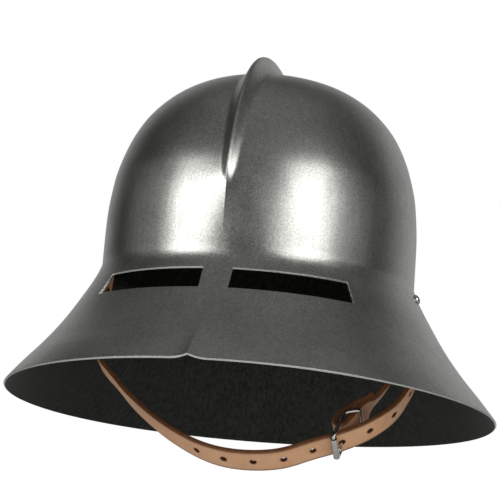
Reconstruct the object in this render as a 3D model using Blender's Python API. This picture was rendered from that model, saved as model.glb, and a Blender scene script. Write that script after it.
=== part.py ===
"""Kettle hat: a raised steel hat with a comb, wide brim and sights, and a buckled leather chin strap.

Metres, +Z up. The origin is the middle of the head opening at the waist, where crown and brim meet.
The front of the hat faces -Y and the wearer's left side is at +X.
"""
import math

import bmesh
import bpy
import numpy as np
from mathutils import Matrix, Vector

# Steel hat, main sizes
crown_half_width = 0.112
crown_half_length = 0.1277
crown_height = 0.1534
crown_top_set_back = 0.0162
brim_drop = 0.0895
rim_half_width = 0.1752
rim_front_reach = 0.2077
rim_rear_reach = 0.2227
rim_set_back = 0.008
brim_forward_lean = 0.0018
rim_side_dip = 0.0016
wall = 0.0016

# Sights, the two long slots in the top of the brim
sight_top_drop = 0.0162
sight_height = 0.0157
nose_bridge = 0.0204
sight_end_angle = math.radians(43.3)

# Comb over the crown, keel down its front and pinched crease at the front rim
comb_height = 0.012
comb_half_width = 0.0095
comb_edge_radius = 0.0012
comb_flank_power = 1.6
comb_fold_walls = 1.4
keel_height = 0.0025
keel_half_width = 0.03
crease_height = 0.0036
crease_half_width = 0.0125

# Strap rivets at the temples
rivet_forward = 0.006
rivet_drop = 0.010
rivet_head_radius = 0.0036
rivet_head_height = 0.0024
rivet_shank_radius = 0.0018
rivet_end_radius = 0.0034
rivet_end_height = 0.0011

# Leather
strap_width = 0.020
strap_thickness = 0.003
strap_plane_tilt = math.radians(31.0)
strap_plane_back = 0.002
strap_plane_up = 0.001
strap_drop = 0.1511
strap_twist = math.radians(12.0)
strap_low_point_side = 0.0224
strap_tail_side = 0.1252
strap_tab_reach = 0.009
strap_turn_start = 0.0144
strap_turn_end = 0.045
strap_hole_radius = 0.0022
strap_hole_pitch = 0.0206
holes_before_prong = 5
holes_after_prong = 3

# Buckle
buckle_lower_pitch = 0.0172
buckle_upper_pitch = 0.0117
buckle_bend_above_bar = 0.0048
buckle_lean = math.radians(12.0)
roller_search_reach = 0.014
bar_radius = 0.0014
rail_radius = 0.0014
roller_radius = 0.0023
prong_radius = 0.0009
prong_hub_radius = 0.0029
prong_hub_width = 0.0036
prong_overhang = 0.0022
fold_length = 0.031
fold_close_share = 0.75
fold_loop_width = 0.0093
chape_twist = math.radians(24.0)

# Clearances
fit_gap = 0.0003
seat_gap = 0.0009
edge_gap = 0.0005

# Grid of the sheet and the round pieces
columns_bridge = 5
columns_bridge_power = 1.4
column_beyond_bridge = 1.37
columns_outer = 6
columns_side = 14
rows_crown = 8
rows_above_sight = 2
rows_in_sight = 2
rows_below_sight = 8
patch_level = 0.78
patch_search_share = 0.9
round_sides = 14
rod_sides = 10
dome_steps = 4
nose_steps = 8
curve_steps = 24
halving_steps = 50
normal_nudge = 0.0004
strap_step = 0.0085
chape_step = 0.00425
strap_columns = 3

# Crown sections, from the waist up: share of the height, share of the half width
crown_sections = (
    (0.00, 1.000),
    (0.20, 0.998),
    (0.40, 0.975),
    (0.55, 0.925),
    (0.70, 0.835),
    (0.82, 0.703),
    (0.91, 0.532),
    (0.973, 0.290),
    (1.00, 0.000),
)

# Brim sections at the sides and the rear, from the waist down: share of the drop, share of the way out
brim_sections = (
    (0.00, 0.000),
    (0.12, 0.078),
    (0.30, 0.227),
    (0.50, 0.409),
    (0.70, 0.629),
    (0.85, 0.819),
    (1.00, 1.000),
)

# Brim sections at the front, where the sheet leaves the waist more gently: the same shares
brim_front_sections = (
    (0.00, 0.000),
    (0.06, 0.010),
    (0.12, 0.038),
    (0.18, 0.080),
    (0.30, 0.170),
    (0.50, 0.365),
    (0.70, 0.605),
    (0.85, 0.810),
    (1.00, 1.000),
)

# Comb along the middle: share of the half turn from front waist to rear waist, share of its height
comb_stations = (
    (0.108, 0.00),
    (0.122, 0.15),
    (0.14, 0.27),
    (0.17, 0.37),
    (0.24, 0.52),
    (0.30, 0.71),
    (0.36, 0.93),
    (0.44, 1.00),
    (0.52, 0.93),
    (0.62, 0.80),
    (0.74, 0.55),
    (0.84, 0.25),
    (0.92, 0.00),
)

# Keel down the front: level (crown share up, brim share down as minus), share of its height
keel_stations = (
    (0.02, 0.00),
    (0.12, 0.20),
    (0.24, 0.70),
    (0.33, 1.00),
    (0.44, 0.60),
    (0.58, 0.00),
)

# Pinched crease at the front rim: level (brim share down as minus), share of its height
crease_stations = (
    (-1.00, 1.00),
    (-0.90, 0.66),
    (-0.76, 0.28),
    (-0.55, 0.00),
)

# Chin strap, right side down to its lowest point: share of the way out, share of the drop
strap_right_route = (
    (1.036, 0.13),
    (0.989, 0.30),
    (0.920, 0.459),
    (0.798, 0.587),
    (0.701, 0.684),
    (0.571, 0.789),
    (0.448, 0.871),
    (0.301, 0.946),
    (0.158, 0.989),
    (0.000, 1.000),
)

# Chin strap up to the prong's hole: share of the way out, share of the drop
strap_low_route = (
    (0.198, 0.979),
    (0.382, 0.921),
)
strap_prong_place = (0.570, 0.864)

# Chin strap past the prong's hole, up to the free end: share of the way out, share of the drop
strap_tail_route = (
    (0.737, 0.793),
    (0.881, 0.693),
    (0.957, 0.578),
    (0.990, 0.500),
    (1.010, 0.420),
    (0.970, 0.320),
)

# Twist of the chin strap, its front edge outward: share of its length, share of the twist
strap_twist_stations = (
    (0.00, 0.00),
    (0.08, 0.00),
    (0.19, 0.40),
    (0.27, 0.70),
    (0.36, 0.55),
    (0.46, 0.35),
    (0.55, 0.00),
    (0.72, 0.00),
    (0.80, 0.25),
    (0.88, 0.85),
    (0.95, 1.00),
    (1.00, 1.00),
)

# Buckle strap, from its rivet to the middle bar: share of the way in, share of the way down
chape_route = (
    (0.01, 0.12),
    (0.04, 0.32),
    (0.11, 0.50),
    (0.21, 0.64),
    (0.50, 0.785),
    (0.75, 0.885),
)

# Way of the fold at the middle bar: share of the way out to the rivet, share of the way up to it
fold_way_out = 0.52
fold_way_up = 0.30

# Twist of the buckle strap between its rivet and the buckle: share of the way, share of the twist
chape_twist_stations = (
    (0.00, 0.00),
    (0.16, 0.00),
    (0.34, 0.45),
    (0.62, 1.00),
    (0.78, 1.00),
    (0.86, 0.00),
    (1.00, 0.00),
)

steel = dict(colour=(0.30, 0.30, 0.29), roughness=0.32, metallic=1.0)
bright_steel = dict(colour=(0.62, 0.61, 0.58), roughness=0.16, metallic=1.0)
tan_leather = dict(colour=(0.53, 0.30, 0.18), roughness=0.62, metallic=0.0)


def clear_scene():
    for thing in list(bpy.data.objects):
        bpy.data.objects.remove(thing, do_unlink=True)


def make_material(name, finish):
    material = bpy.data.materials.new(name)
    material.use_nodes = True
    shader = material.node_tree.nodes["Principled BSDF"]
    shader.inputs["Base Color"].default_value = (*finish["colour"], 1.0)
    shader.inputs["Roughness"].default_value = finish["roughness"]
    shader.inputs["Metallic"].default_value = finish["metallic"]
    return material


def finish_object(name, mesh_builder, finish, smooth_angle=math.radians(35.0)):
    """Turn a bmesh into a named object with outward faces and its own material."""
    mesh_builder.normal_update()
    bmesh.ops.recalc_face_normals(mesh_builder, faces=mesh_builder.faces[:])
    mesh = bpy.data.meshes.new(name)
    mesh_builder.to_mesh(mesh)
    mesh_builder.free()
    mesh.materials.append(make_material(name + "_finish", finish))
    mesh.shade_smooth()
    mesh.set_sharp_from_angle(angle=smooth_angle)
    thing = bpy.data.objects.new(name, mesh)
    bpy.context.collection.objects.link(thing)
    return thing


def make_tool(name, mesh_builder):
    """A hidden mesh that cuts or joins another object."""
    mesh_builder.normal_update()
    bmesh.ops.recalc_face_normals(mesh_builder, faces=mesh_builder.faces[:])
    mesh = bpy.data.meshes.new(name)
    mesh_builder.to_mesh(mesh)
    mesh_builder.free()
    thing = bpy.data.objects.new(name, mesh)
    bpy.context.collection.objects.link(thing)
    thing.hide_render = True
    thing.display_type = 'WIRE'
    return thing


def combine(thing, tool, operation):
    step = thing.modifiers.new(tool.name, 'BOOLEAN')
    step.operation = operation
    step.solver = 'EXACT'
    step.object = tool


# Smooth curves through short tables


def steady_slopes(places, values):
    """Slopes of a curve that never overshoots its table."""
    steps = np.diff(places)
    rises = np.diff(values) / steps
    slopes = np.zeros(len(values))
    for i in range(1, len(values) - 1):
        if rises[i - 1] * rises[i] > 0.0:
            before = 2.0 * steps[i] + steps[i - 1]
            after = steps[i] + 2.0 * steps[i - 1]
            slopes[i] = (before + after) / (before / rises[i - 1] + after / rises[i])
    slopes[0] = end_slope(steps[0], steps[1], rises[0], rises[1])
    slopes[-1] = end_slope(steps[-1], steps[-2], rises[-1], rises[-2])
    return slopes


def end_slope(step, next_step, rise, next_rise):
    slope = ((2.0 * step + next_step) * rise - step * next_rise) / (step + next_step)
    if slope * rise <= 0.0:
        return 0.0
    if rise * next_rise <= 0.0 and abs(slope) > abs(3.0 * rise):
        return 3.0 * rise
    return slope


def steady_curve(table, square=False):
    """A smooth function through (place, value) rows, going on straight past either end."""
    rows = np.array(sorted(table))
    places = rows[:, 0]
    values = rows[:, 1] ** 2 if square else rows[:, 1]
    slopes = steady_slopes(places, values)

    def read(at):
        at = np.asarray(at, dtype=float)
        inside = np.clip(at, places[0], places[-1])
        span = np.clip(np.searchsorted(places, inside, side='right') - 1, 0, len(places) - 2)
        step = places[span + 1] - places[span]
        part = (inside - places[span]) / step
        rest = 1.0 - part
        value = (
            values[span] * (1.0 + 2.0 * part) * rest ** 2
            + slopes[span] * step * part * rest ** 2
            + values[span + 1] * part ** 2 * (3.0 - 2.0 * part)
            - slopes[span + 1] * step * part ** 2 * rest
        )
        end = np.where(at > places[-1], slopes[-1], slopes[0])
        return value + end * (at - inside)

    return read


crown_spread_squared = steady_curve(crown_sections, square=True)
brim_spread = steady_curve(brim_sections)
brim_front_spread = steady_curve(brim_front_sections)
comb_share = steady_curve(comb_stations)
keel_share = steady_curve(keel_stations)
crease_share = steady_curve(crease_stations)
strap_twist_share = steady_curve(strap_twist_stations)
chape_twist_share = steady_curve(chape_twist_stations)


# The sheet: a level is a share, 0 at the waist, 1 at the top of the crown, -1 at the rim


def brim_depth(angle):
    """Drop of the rim below the waist, a little more at the sides than at front and rear."""
    return brim_drop - rim_side_dip * np.cos(2.0 * angle)


def section(level):
    """Half width, front reach, rear reach and middle of the outline at a level."""
    up = np.clip(level, 0.0, None)
    down = np.clip(-np.asarray(level, dtype=float), 0.0, None)
    out = brim_spread(down)
    shrink = np.sqrt(np.clip(crown_spread_squared(up), 0.0, None))
    half_width = shrink * crown_half_width + (rim_half_width - crown_half_width) * out
    front = shrink * crown_half_length
    front = front + (rim_front_reach - crown_half_length) * brim_front_spread(down)
    rear = shrink * crown_half_length + (rim_rear_reach - crown_half_length) * out
    middle = crown_top_set_back * up ** 2 + rim_set_back * down
    middle = middle - brim_forward_lean * 4.0 * down * (1.0 - down)
    return half_width, front, rear, middle


def ring_place(level, angle):
    """Point of the plain outer surface; the angle is 0 at the front and grows towards +X."""
    half_width, front, rear, middle = section(level)
    forward = np.cos(angle)
    reach = front if forward > 0.0 else rear
    height = crown_height * level if level > 0.0 else brim_depth(angle) * level
    return np.array((half_width * np.sin(angle), middle - reach * forward, height))


def outwardness(x, y, z):
    """Below zero inside the plain outer surface, above zero outside it."""
    angle = np.arctan2(x / crown_half_width, -y / crown_half_length)
    level = np.where(z > 0.0, z / crown_height, z / brim_depth(angle))
    half_width, front, rear, middle = section(np.minimum(level, 0.0))
    middle = section(level)[3]
    reach = np.where(y < middle, front, rear)
    limit = np.where(level > 0.0, crown_spread_squared(np.maximum(level, 0.0)), 1.0)
    return (x / half_width) ** 2 + ((y - middle) / reach) ** 2 - limit


def outward_normal(place):
    """Unit normal of the plain outer surface, by small differences."""
    slope = []
    for axis in range(3):
        offset = np.zeros(3)
        offset[axis] = normal_nudge
        slope.append(float(outwardness(*(place + offset)) - outwardness(*(place - offset))))
    slope = np.array(slope)
    return slope / np.linalg.norm(slope)


def crown_top_height(x, y):
    """Height of the plain crown over a place near its top, by halving."""
    low = crown_height * patch_level * patch_search_share
    high = crown_height
    for _ in range(halving_steps):
        middle = 0.5 * (low + high)
        if outwardness(x, y, middle) < 0.0:
            low = middle
        else:
            high = middle
    return 0.5 * (low + high)


def comb_profile(side):
    """Cross section of the comb: rounded edge, hollow flanks, 0 at its foot."""
    rounded = math.sqrt(side ** 2 + comb_edge_radius ** 2) - comb_edge_radius
    foot = math.sqrt(comb_half_width ** 2 + comb_edge_radius ** 2) - comb_edge_radius
    return max(0.0, 1.0 - rounded / foot) ** comb_flank_power


def station_share(read, table, at):
    """A station table's value, nothing beyond its ends."""
    places = [row[0] for row in table]
    if at < min(places) or at > max(places):
        return 0.0
    return float(read(at))


def relief(place, inner):
    """How far comb, keel and crease stand out of the plain surface at a place."""
    x, y, z = place
    side = abs(x)
    comb_side = side + comb_fold_walls * wall if inner else side
    level = z / crown_height if z > 0.0 else z / brim_drop
    turn = math.atan2(z, -y) / math.pi
    amount = comb_height * station_share(comb_share, comb_stations, turn) * comb_profile(comb_side)
    if y < 0.0:
        keel = max(0.0, 1.0 - side / keel_half_width) ** 2
        crease = max(0.0, 1.0 - side / crease_half_width) ** 2
        amount += keel_height * keel * station_share(keel_share, keel_stations, level)
        at_rim = max(level, -1.0)
        amount += crease_height * crease * station_share(crease_share, crease_stations, at_rim)
    return amount


def sheet_pair(place):
    """Outer and inner point of the sheet over one place of the plain surface."""
    normal = outward_normal(place)
    outer = place + normal * relief(place, inner=False)
    inner = place + normal * (relief(place, inner=True) - wall)
    return outer, inner


def bridge_shares():
    """Inner columns of one front quarter, as shares of half the nose bridge."""
    shares = [(i / columns_bridge) ** columns_bridge_power for i in range(columns_bridge + 1)]
    return shares + [column_beyond_bridge]


def column_shares():
    """Outer columns of one front quarter, as shares of the angle up to the sight's far end."""
    return [(i + 1) / columns_outer for i in range(columns_outer)]


def half_front_angles(level):
    """Angles of the columns from the middle to the sight's far end, at one level."""
    half_width = float(section(level)[0])
    angles = [math.asin(share * nose_bridge / 2.0 / half_width) for share in bridge_shares()]
    start = angles[-1]
    angles += [start + (sight_end_angle - start) * share for share in column_shares()]
    return angles


def ring_angles(level):
    """Angles once round: front from right to left side, side, rear and side again."""
    half = half_front_angles(level)
    front = [-angle for angle in reversed(half)] + half[1:]
    sweep = math.pi - 2.0 * sight_end_angle
    side = [sight_end_angle + sweep * (k + 1) / (columns_side + 1) for k in range(columns_side)]
    rear = [math.pi - angle for angle in reversed(front)]
    return front + side + rear + [-angle for angle in reversed(side)]


def sheet_levels():
    """Levels of the rings below the top patch, with the number of the sight's first ring."""
    sight_top = sight_top_drop / brim_drop
    sight_foot = (sight_top_drop + sight_height) / brim_drop
    levels = [patch_level * (1.0 - i / rows_crown) for i in range(rows_crown)]
    levels += [-sight_top * i / rows_above_sight for i in range(rows_above_sight)]
    first = len(levels)
    levels += [-sight_top - (sight_foot - sight_top) * i / rows_in_sight for i in range(rows_in_sight)]
    below = 1.0 - sight_foot
    levels += [-sight_foot - below * i / rows_below_sight for i in range(rows_below_sight + 1)]
    return levels, first


def top_patch_places():
    """Places of the grid over the top of the crown, [row from front to rear][column from -X to +X]."""
    ring = [ring_place(patch_level, angle) for angle in ring_angles(patch_level)]
    last = columns_bridge + 1 + columns_outer
    width = 2 * last + 1
    front = ring[:width]
    side = ring[width:width + columns_side]
    rear = ring[width + columns_side:2 * width + columns_side][::-1]
    edge = [front[-1]] + side + [rear[-1]]
    steady = columns_bridge + 1
    rows = []
    for j, at_edge in enumerate(edge):
        back = (at_edge[1] - edge[0][1]) / (edge[-1][1] - edge[0][1])
        row = []
        for i in range(width):
            step = abs(i - last)
            sign = 1.0 if i >= last else -1.0
            x = front[i][0]
            if step > steady:
                inner_x = front[last + steady][0]
                part = (abs(x) - inner_x) / (front[-1][0] - inner_x)
                x = sign * (inner_x + (at_edge[0] - inner_x) * part)
            y = front[i][1] + (rear[i][1] - front[i][1]) * back
            on_border = j in (0, len(edge) - 1) or step == last
            z = crown_height * patch_level if on_border else crown_top_height(x, y)
            row.append(np.array((x, y, z)))
        rows.append(row)
    return rows


def add_pair(mesh_builder, place):
    outer, inner = sheet_pair(place)
    return mesh_builder.verts.new(outer), mesh_builder.verts.new(inner)


def add_quad(mesh_builder, corners, side):
    mesh_builder.faces.new([corner[side] for corner in corners])


def make_sheet():
    """Crown, comb, brim and sights as one sheet."""
    builder = bmesh.new()
    patch = [[add_pair(builder, place) for place in row] for row in top_patch_places()]
    width = len(patch[0])
    border = list(patch[0])
    border += [row[-1] for row in patch[1:-1]]
    border += list(reversed(patch[-1]))
    border += [row[0] for row in reversed(patch[1:-1])]
    levels, first_sight_ring = sheet_levels()
    rings = [border]
    for level in levels[1:]:
        rings.append([add_pair(builder, ring_place(level, angle)) for angle in ring_angles(level)])
    for j in range(len(patch) - 1):
        for i in range(width - 1):
            corners = (patch[j][i], patch[j][i + 1], patch[j + 1][i + 1], patch[j + 1][i])
            for side in (0, 1):
                add_quad(builder, corners, side)
    half = width // 2
    right_sight = range(0, half - columns_bridge)
    left_sight = range(half + columns_bridge, width - 1)
    open_columns = set(right_sight) | set(left_sight)
    open_rings = range(first_sight_ring, first_sight_ring + rows_in_sight)
    count = len(border)
    for r in range(len(rings) - 1):
        for c in range(count):
            if r in open_rings and c in open_columns:
                continue
            d = (c + 1) % count
            corners = (rings[r][c], rings[r][d], rings[r + 1][d], rings[r + 1][c])
            for side in (0, 1):
                add_quad(builder, corners, side)
    for sight in (left_sight, right_sight):
        close_sight(builder, rings, sight.start, sight.stop, first_sight_ring)
    for c in range(count):
        d = (c + 1) % count
        low = rings[-1]
        builder.faces.new((low[c][0], low[d][0], low[d][1], low[c][1]))
    return builder


def close_sight(builder, rings, start, end, first_ring):
    """Walls of the sheet's thickness round one sight."""
    last_ring = first_ring + rows_in_sight
    loop = [rings[first_ring][c] for c in range(start, end)]
    loop += [rings[r][end] for r in range(first_ring, last_ring)]
    loop += [rings[last_ring][c] for c in range(end, start, -1)]
    loop += [rings[r][start] for r in range(last_ring, first_ring, -1)]
    for i, here in enumerate(loop):
        after = loop[(i + 1) % len(loop)]
        builder.faces.new((here[0], after[0], after[1], here[1]))


# Rivets


def wall_place(side):
    """Outer point of the plain surface where a strap rivet sits, and the normal there."""
    y = -rivet_forward
    z = -rivet_drop
    low = 0.0
    high = rim_half_width
    for _ in range(halving_steps):
        middle = 0.5 * (low + high)
        if outwardness(middle, y, z) < 0.0:
            low = middle
        else:
            high = middle
    place = np.array((low, y, z))
    normal = outward_normal(place)
    flip = np.array((side, 1.0, 1.0))
    return place * flip, normal * flip


def turn_profile(points, place, axis):
    """Spin (radius, height) points round an axis that starts at a place."""
    builder = bmesh.new()
    rings = []
    for radius, height in points:
        if radius == 0.0:
            rings.append([builder.verts.new((0.0, 0.0, height))] * round_sides)
            continue
        ring = []
        for i in range(round_sides):
            turn = 2.0 * math.pi * i / round_sides
            ring.append(builder.verts.new((radius * math.cos(turn), radius * math.sin(turn), height)))
        rings.append(ring)
    for lower, upper in zip(rings[:-1], rings[1:]):
        for i in range(round_sides):
            k = (i + 1) % round_sides
            corners = []
            for corner in (lower[i], lower[k], upper[k], upper[i]):
                if corner not in corners:
                    corners.append(corner)
            builder.faces.new(corners)
    turn = Vector((0.0, 0.0, 1.0)).rotation_difference(Vector(axis)).to_matrix().to_4x4()
    bmesh.ops.transform(builder, matrix=Matrix.Translation(Vector(place)) @ turn, verts=builder.verts[:])
    return builder


def rivet_profile():
    """Domed head outside, shank, and a flat set end inside the strap."""
    arc = [
        (rivet_head_radius * math.cos(a), fit_gap + rivet_head_height * math.sin(a))
        for a in (math.pi / 2.0 * i / dome_steps for i in range(dome_steps))
    ]
    arc.append((0.0, fit_gap + rivet_head_height))
    end = -(wall + seat_gap + strap_thickness + fit_gap)
    bevel = rivet_end_height / 3.0
    foot = [
        (0.0, end - rivet_end_height),
        (rivet_end_radius - bevel, end - rivet_end_height),
        (rivet_end_radius, end - rivet_end_height + bevel),
        (rivet_end_radius, end),
        (rivet_shank_radius, end),
        (rivet_shank_radius, fit_gap),
    ]
    return foot + arc


def make_rivet(name, side):
    place, normal = wall_place(side)
    return finish_object(name, turn_profile(rivet_profile(), place, normal), bright_steel)


def rivet_hole_tool(name, side):
    """A pin that clears the rivet's shank through sheet and strap."""
    place, normal = wall_place(side)
    radius = rivet_shank_radius + fit_gap
    reach = wall + seat_gap + strap_thickness
    profile = [(0.0, -2.0 * reach), (radius, -2.0 * reach), (radius, reach), (0.0, reach)]
    return make_tool(name, turn_profile(profile, place, normal))


# Strap routes: a flat place is (across, down) in the tilted plane through the rivets


plane_down = np.array((0.0, -math.sin(strap_plane_tilt), -math.cos(strap_plane_tilt)))
plane_wide = np.array((0.0, -math.cos(strap_plane_tilt), math.sin(strap_plane_tilt)))
plane_start = np.array((0.0, strap_plane_back - rivet_forward, strap_plane_up - rivet_drop))


def from_plane(across, down):
    return plane_start + np.array((across, 0.0, 0.0)) + plane_down * down


def strap_seat(side):
    """Middle of the strap's thickness under its rivet, with the seat's normal."""
    place, normal = wall_place(side)
    depth = wall + seat_gap + strap_thickness / 2.0
    return place - normal * depth, normal


def unit(vector):
    return vector / np.linalg.norm(vector)


def tab_direction(normal):
    """Way down the sheet at the rivet, as near to the strap plane as the seat allows."""
    return unit(plane_down - normal * float(plane_down @ normal))


def catmull(points, step):
    """Evenly spaced places on a smooth curve through the points; the first only aims its start."""
    points = np.array(points)
    padded = np.vstack((points, 2.0 * points[-1] - points[-2]))
    fine = []
    for i in range(1, len(padded) - 2):
        before, here, after, beyond = padded[i - 1:i + 3]
        for t in np.linspace(0.0, 1.0, curve_steps, endpoint=False):
            fine.append(0.5 * (
                2.0 * here + (after - before) * t
                + (2.0 * before - 5.0 * here + 4.0 * after - beyond) * t ** 2
                + (3.0 * here - before - 3.0 * after + beyond) * t ** 3
            ))
    fine.append(points[-1])
    fine = np.array(fine)
    run = np.concatenate(((0.0,), np.cumsum(np.linalg.norm(np.diff(fine, axis=0), axis=1))))
    count = max(2, int(round(run[-1] / step)))
    at = np.linspace(0.0, run[-1], count + 1)
    return np.stack([np.interp(at, run, fine[:, k]) for k in range(fine.shape[1])], axis=1)


def tangents(places):
    return np.array([unit(row) for row in np.gradient(places, axis=0)])


def run_lengths(places):
    return np.concatenate(((0.0,), np.cumsum(np.linalg.norm(np.diff(places, axis=0), axis=1))))


def strap_tab(side):
    """The straight stretch that lies on the sheet under a rivet: places and where it lets go."""
    seat, normal = strap_seat(side)
    along = tab_direction(normal)
    places = [seat - along * strap_tab_reach * share for share in (1.0, 0.5, 0.0)]
    return places, seat + along * strap_tab_reach * 0.5


def left_place(out, down):
    """A place of the chin strap's left part, from its shares of the way out and of the drop."""
    tail_span = strap_tail_side - strap_low_point_side
    return from_plane(strap_low_point_side + tail_span * out, strap_drop * down)


def chin_strap_places():
    tab, free = strap_tab(-1.0)
    seat = tab[-1]
    span = abs(seat[0]) + strap_low_point_side
    route = [seat, free]
    route += [
        from_plane(strap_low_point_side - span * out, strap_drop * down)
        for out, down in strap_right_route
    ]
    route += [left_place(*row) for row in strap_low_route]
    route.append(left_place(*strap_prong_place))
    route += [left_place(*row) for row in strap_tail_route]
    return np.vstack((tab, catmull(route, strap_step)))


def flat_place(place):
    """(across, down) of a place that lies in the strap plane."""
    return np.array((place[0], float((place - plane_start) @ plane_down)))


def prong_run(places):
    """Length along the chin strap at which the prong goes through it."""
    run = run_lengths(places)
    target = left_place(*strap_prong_place)
    nearest = int(np.argmin(np.linalg.norm(places - target, axis=1)))
    along = tangents(places)[nearest]
    return run[nearest] + float((target - places[nearest]) @ along)


def strap_frame(places, at):
    """Place, direction and outward normal, flat in the strap plane, at a length along it."""
    run = run_lengths(places)
    place = np.array([np.interp(at, run, places[:, k]) for k in range(3)])
    along = tangents(places)
    along = unit(np.array([np.interp(at, run, along[:, k]) for k in range(3)]))
    outward = unit(np.cross(plane_wide, along))
    if outward @ plane_down < 0.0:
        outward = -outward
    return place, along, outward


def buckle_layout(places):
    """Middles of the prong hole, roller bar and middle bar, in the strap plane."""
    hole, along, outward = strap_frame(places, prong_run(places))
    depth = strap_thickness / 2.0 + fit_gap + roller_radius
    beside = roller_radius + fit_gap + prong_radius
    lean = np.array((math.sin(buckle_lean), 0.0, 0.0)) - plane_down * math.cos(buckle_lean)
    near = 0.0
    far = roller_search_reach
    for _ in range(halving_steps):
        ahead = 0.5 * (near + far)
        roller = hole + outward * depth - along * ahead
        bar = roller + lean * buckle_lower_pitch
        apart = np.linalg.norm(np.cross(roller - bar, unit(hole - bar)))
        if apart < beside:
            near = ahead
        else:
            far = ahead
    return hole, roller, bar


def ease_between(value, start, end):
    share = min(1.0, max(0.0, (value - start) / (end - start)))
    return share * share * (3.0 - 2.0 * share)


def seat_wide(side):
    """Width direction of a strap that lies flat on its seat."""
    normal = strap_seat(side)[1]
    wide = np.cross(normal, tab_direction(normal))
    return wide if wide @ plane_wide > 0.0 else -wide


def turned_wides(places, side, twist, twist_share, stations):
    """Width directions: flat on the seat at the rivet, then square to the strap plane plus a twist."""
    start = seat_wide(side)
    run = run_lengths(places)
    wides = []
    for at, way in zip(run, tangents(places)):
        share = ease_between(at, strap_turn_start, strap_turn_end)
        wide = start * (1.0 - share) + plane_wide * share
        wide = unit(wide - way * float(wide @ way))
        outward = np.cross(wide, way) * side
        turn = twist * station_share(twist_share, stations, at / run[-1])
        wides.append(wide * math.cos(turn) + outward * math.sin(turn))
    return wides


def chape_outer_places(bar):
    """The buckle strap's outer leg, the way along the fold and the way out of it, in the strap plane."""
    tab, free = strap_tab(1.0)
    seat = tab[-1]
    bar_flat = flat_place(bar)
    seat_flat = flat_place(seat)
    way = unit(np.array((fold_way_out * (seat_flat[0] - bar_flat[0]), -fold_way_up * bar_flat[1])))
    outward = np.array((-way[1], way[0]))
    touch = bar_flat + outward * (bar_radius + fit_gap + strap_thickness / 2.0)
    route = [seat, free]
    route += [
        from_plane(seat_flat[0] + (touch[0] - seat_flat[0]) * inward, touch[1] * down)
        for inward, down in chape_route
    ]
    route.append(from_plane(*touch))
    return np.vstack((tab, catmull(route, chape_step))), way, outward, touch


def chape_places():
    """Middle line and width directions of the buckle strap: outer leg, loop round the bar, inner leg."""
    bar = buckle_layout(chin_strap_places())[2]
    outer, way, outward, touch = chape_outer_places(bar)
    outer_wides = turned_wides(outer, 1.0, chape_twist, chape_twist_share, chape_twist_stations)
    nose_middle = touch - outward * fold_loop_width / 2.0
    nose = []
    for i in range(1, nose_steps):
        turn = math.pi * i / nose_steps
        swing = outward * math.cos(turn) - way * math.sin(turn)
        nose.append(from_plane(*(nose_middle + swing * fold_loop_width / 2.0)))
    inner = []
    inner_wides = []
    run = run_lengths(outer)
    close = strap_thickness + fit_gap
    for at, place, along, wide in reversed(list(zip(run, outer, tangents(outer), outer_wides))):
        done = (run[-1] - at) / fold_length
        if done > 1.0:
            break
        apart = fold_loop_width + (close - fold_loop_width) * ease_between(done, 0.0, fold_close_share)
        inner.append(place + unit(np.cross(along, wide)) * apart)
        inner_wides.append(wide)
    places = np.vstack((outer, nose, inner))
    wides = outer_wides + [plane_wide] * len(nose) + inner_wides
    return places, wides, len(outer), bar


def ribbon(places, wides, thickness=strap_thickness):
    """A flat strap along places, with a width direction at each."""
    builder = bmesh.new()
    along = tangents(places)
    sections = []
    for place, way, wide in zip(places, along, wides):
        wide = unit(wide - way * float(wide @ way))
        normal = unit(np.cross(way, wide))
        ring = []
        for side, columns in ((0.5, range(strap_columns + 1)), (-0.5, range(strap_columns, -1, -1))):
            for k in columns:
                share = k / strap_columns - 0.5
                spot = place + wide * strap_width * share + normal * thickness * side
                ring.append(builder.verts.new(spot))
        sections.append(ring)
    for here, after in zip(sections[:-1], sections[1:]):
        for i in range(len(here)):
            k = (i + 1) % len(here)
            builder.faces.new((here[i], here[k], after[k], after[i]))
    for ring in (sections[0], sections[-1]):
        for k in range(strap_columns):
            builder.faces.new((ring[k], ring[k + 1], ring[-2 - k], ring[-1 - k]))
    return builder


def make_chin_strap():
    places = chin_strap_places()
    wides = turned_wides(places, -1.0, strap_twist, strap_twist_share, strap_twist_stations)
    strap = finish_object("chin_strap", ribbon(places, wides), tan_leather)
    middle = prong_run(places)
    for number in range(-holes_before_prong, holes_after_prong + 1):
        place, _, outward = strap_frame(places, middle + number * strap_hole_pitch)
        reach = 2.0 * strap_thickness
        profile = [(0.0, -reach), (strap_hole_radius, -reach), (strap_hole_radius, reach), (0.0, reach)]
        tool = make_tool("strap_hole_tool_%d" % (number + holes_before_prong),
                         turn_profile(profile, place, outward))
        combine(strap, tool, 'DIFFERENCE')
    combine(strap, rivet_hole_tool("strap_rivet_tool_right", -1.0), 'DIFFERENCE')
    return strap


def box_tool(name, middle, axes, halves):
    builder = bmesh.new()
    bmesh.ops.create_cube(builder, size=2.0)
    for vert in builder.verts:
        local = vert.co.copy()
        spot = np.array(middle)
        for axis, half, amount in zip(axes, halves, local):
            spot = spot + np.array(axis) * half * amount
        vert.co = Vector(spot)
    return make_tool(name, builder)


def make_buckle_strap():
    places, wides, _, bar = chape_places()
    strap = finish_object("buckle_strap", ribbon(places, wides), tan_leather)
    across = np.array((1.0, 0.0, 0.0))
    before = prong_hub_radius + edge_gap
    beyond = fold_loop_width
    aside = fold_loop_width / 2.0 + strap_thickness
    middle = bar + plane_down * (beyond - before) / 2.0 + across * (aside - before) / 2.0
    slot = box_tool(
        "prong_slot_tool", middle, (across, plane_wide, plane_down),
        ((aside + before) / 2.0, prong_hub_width / 2.0 + edge_gap, (beyond + before) / 2.0),
    )
    combine(strap, slot, 'DIFFERENCE')
    combine(strap, rivet_hole_tool("strap_rivet_tool_left", 1.0), 'DIFFERENCE')
    return strap


# Buckle


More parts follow.
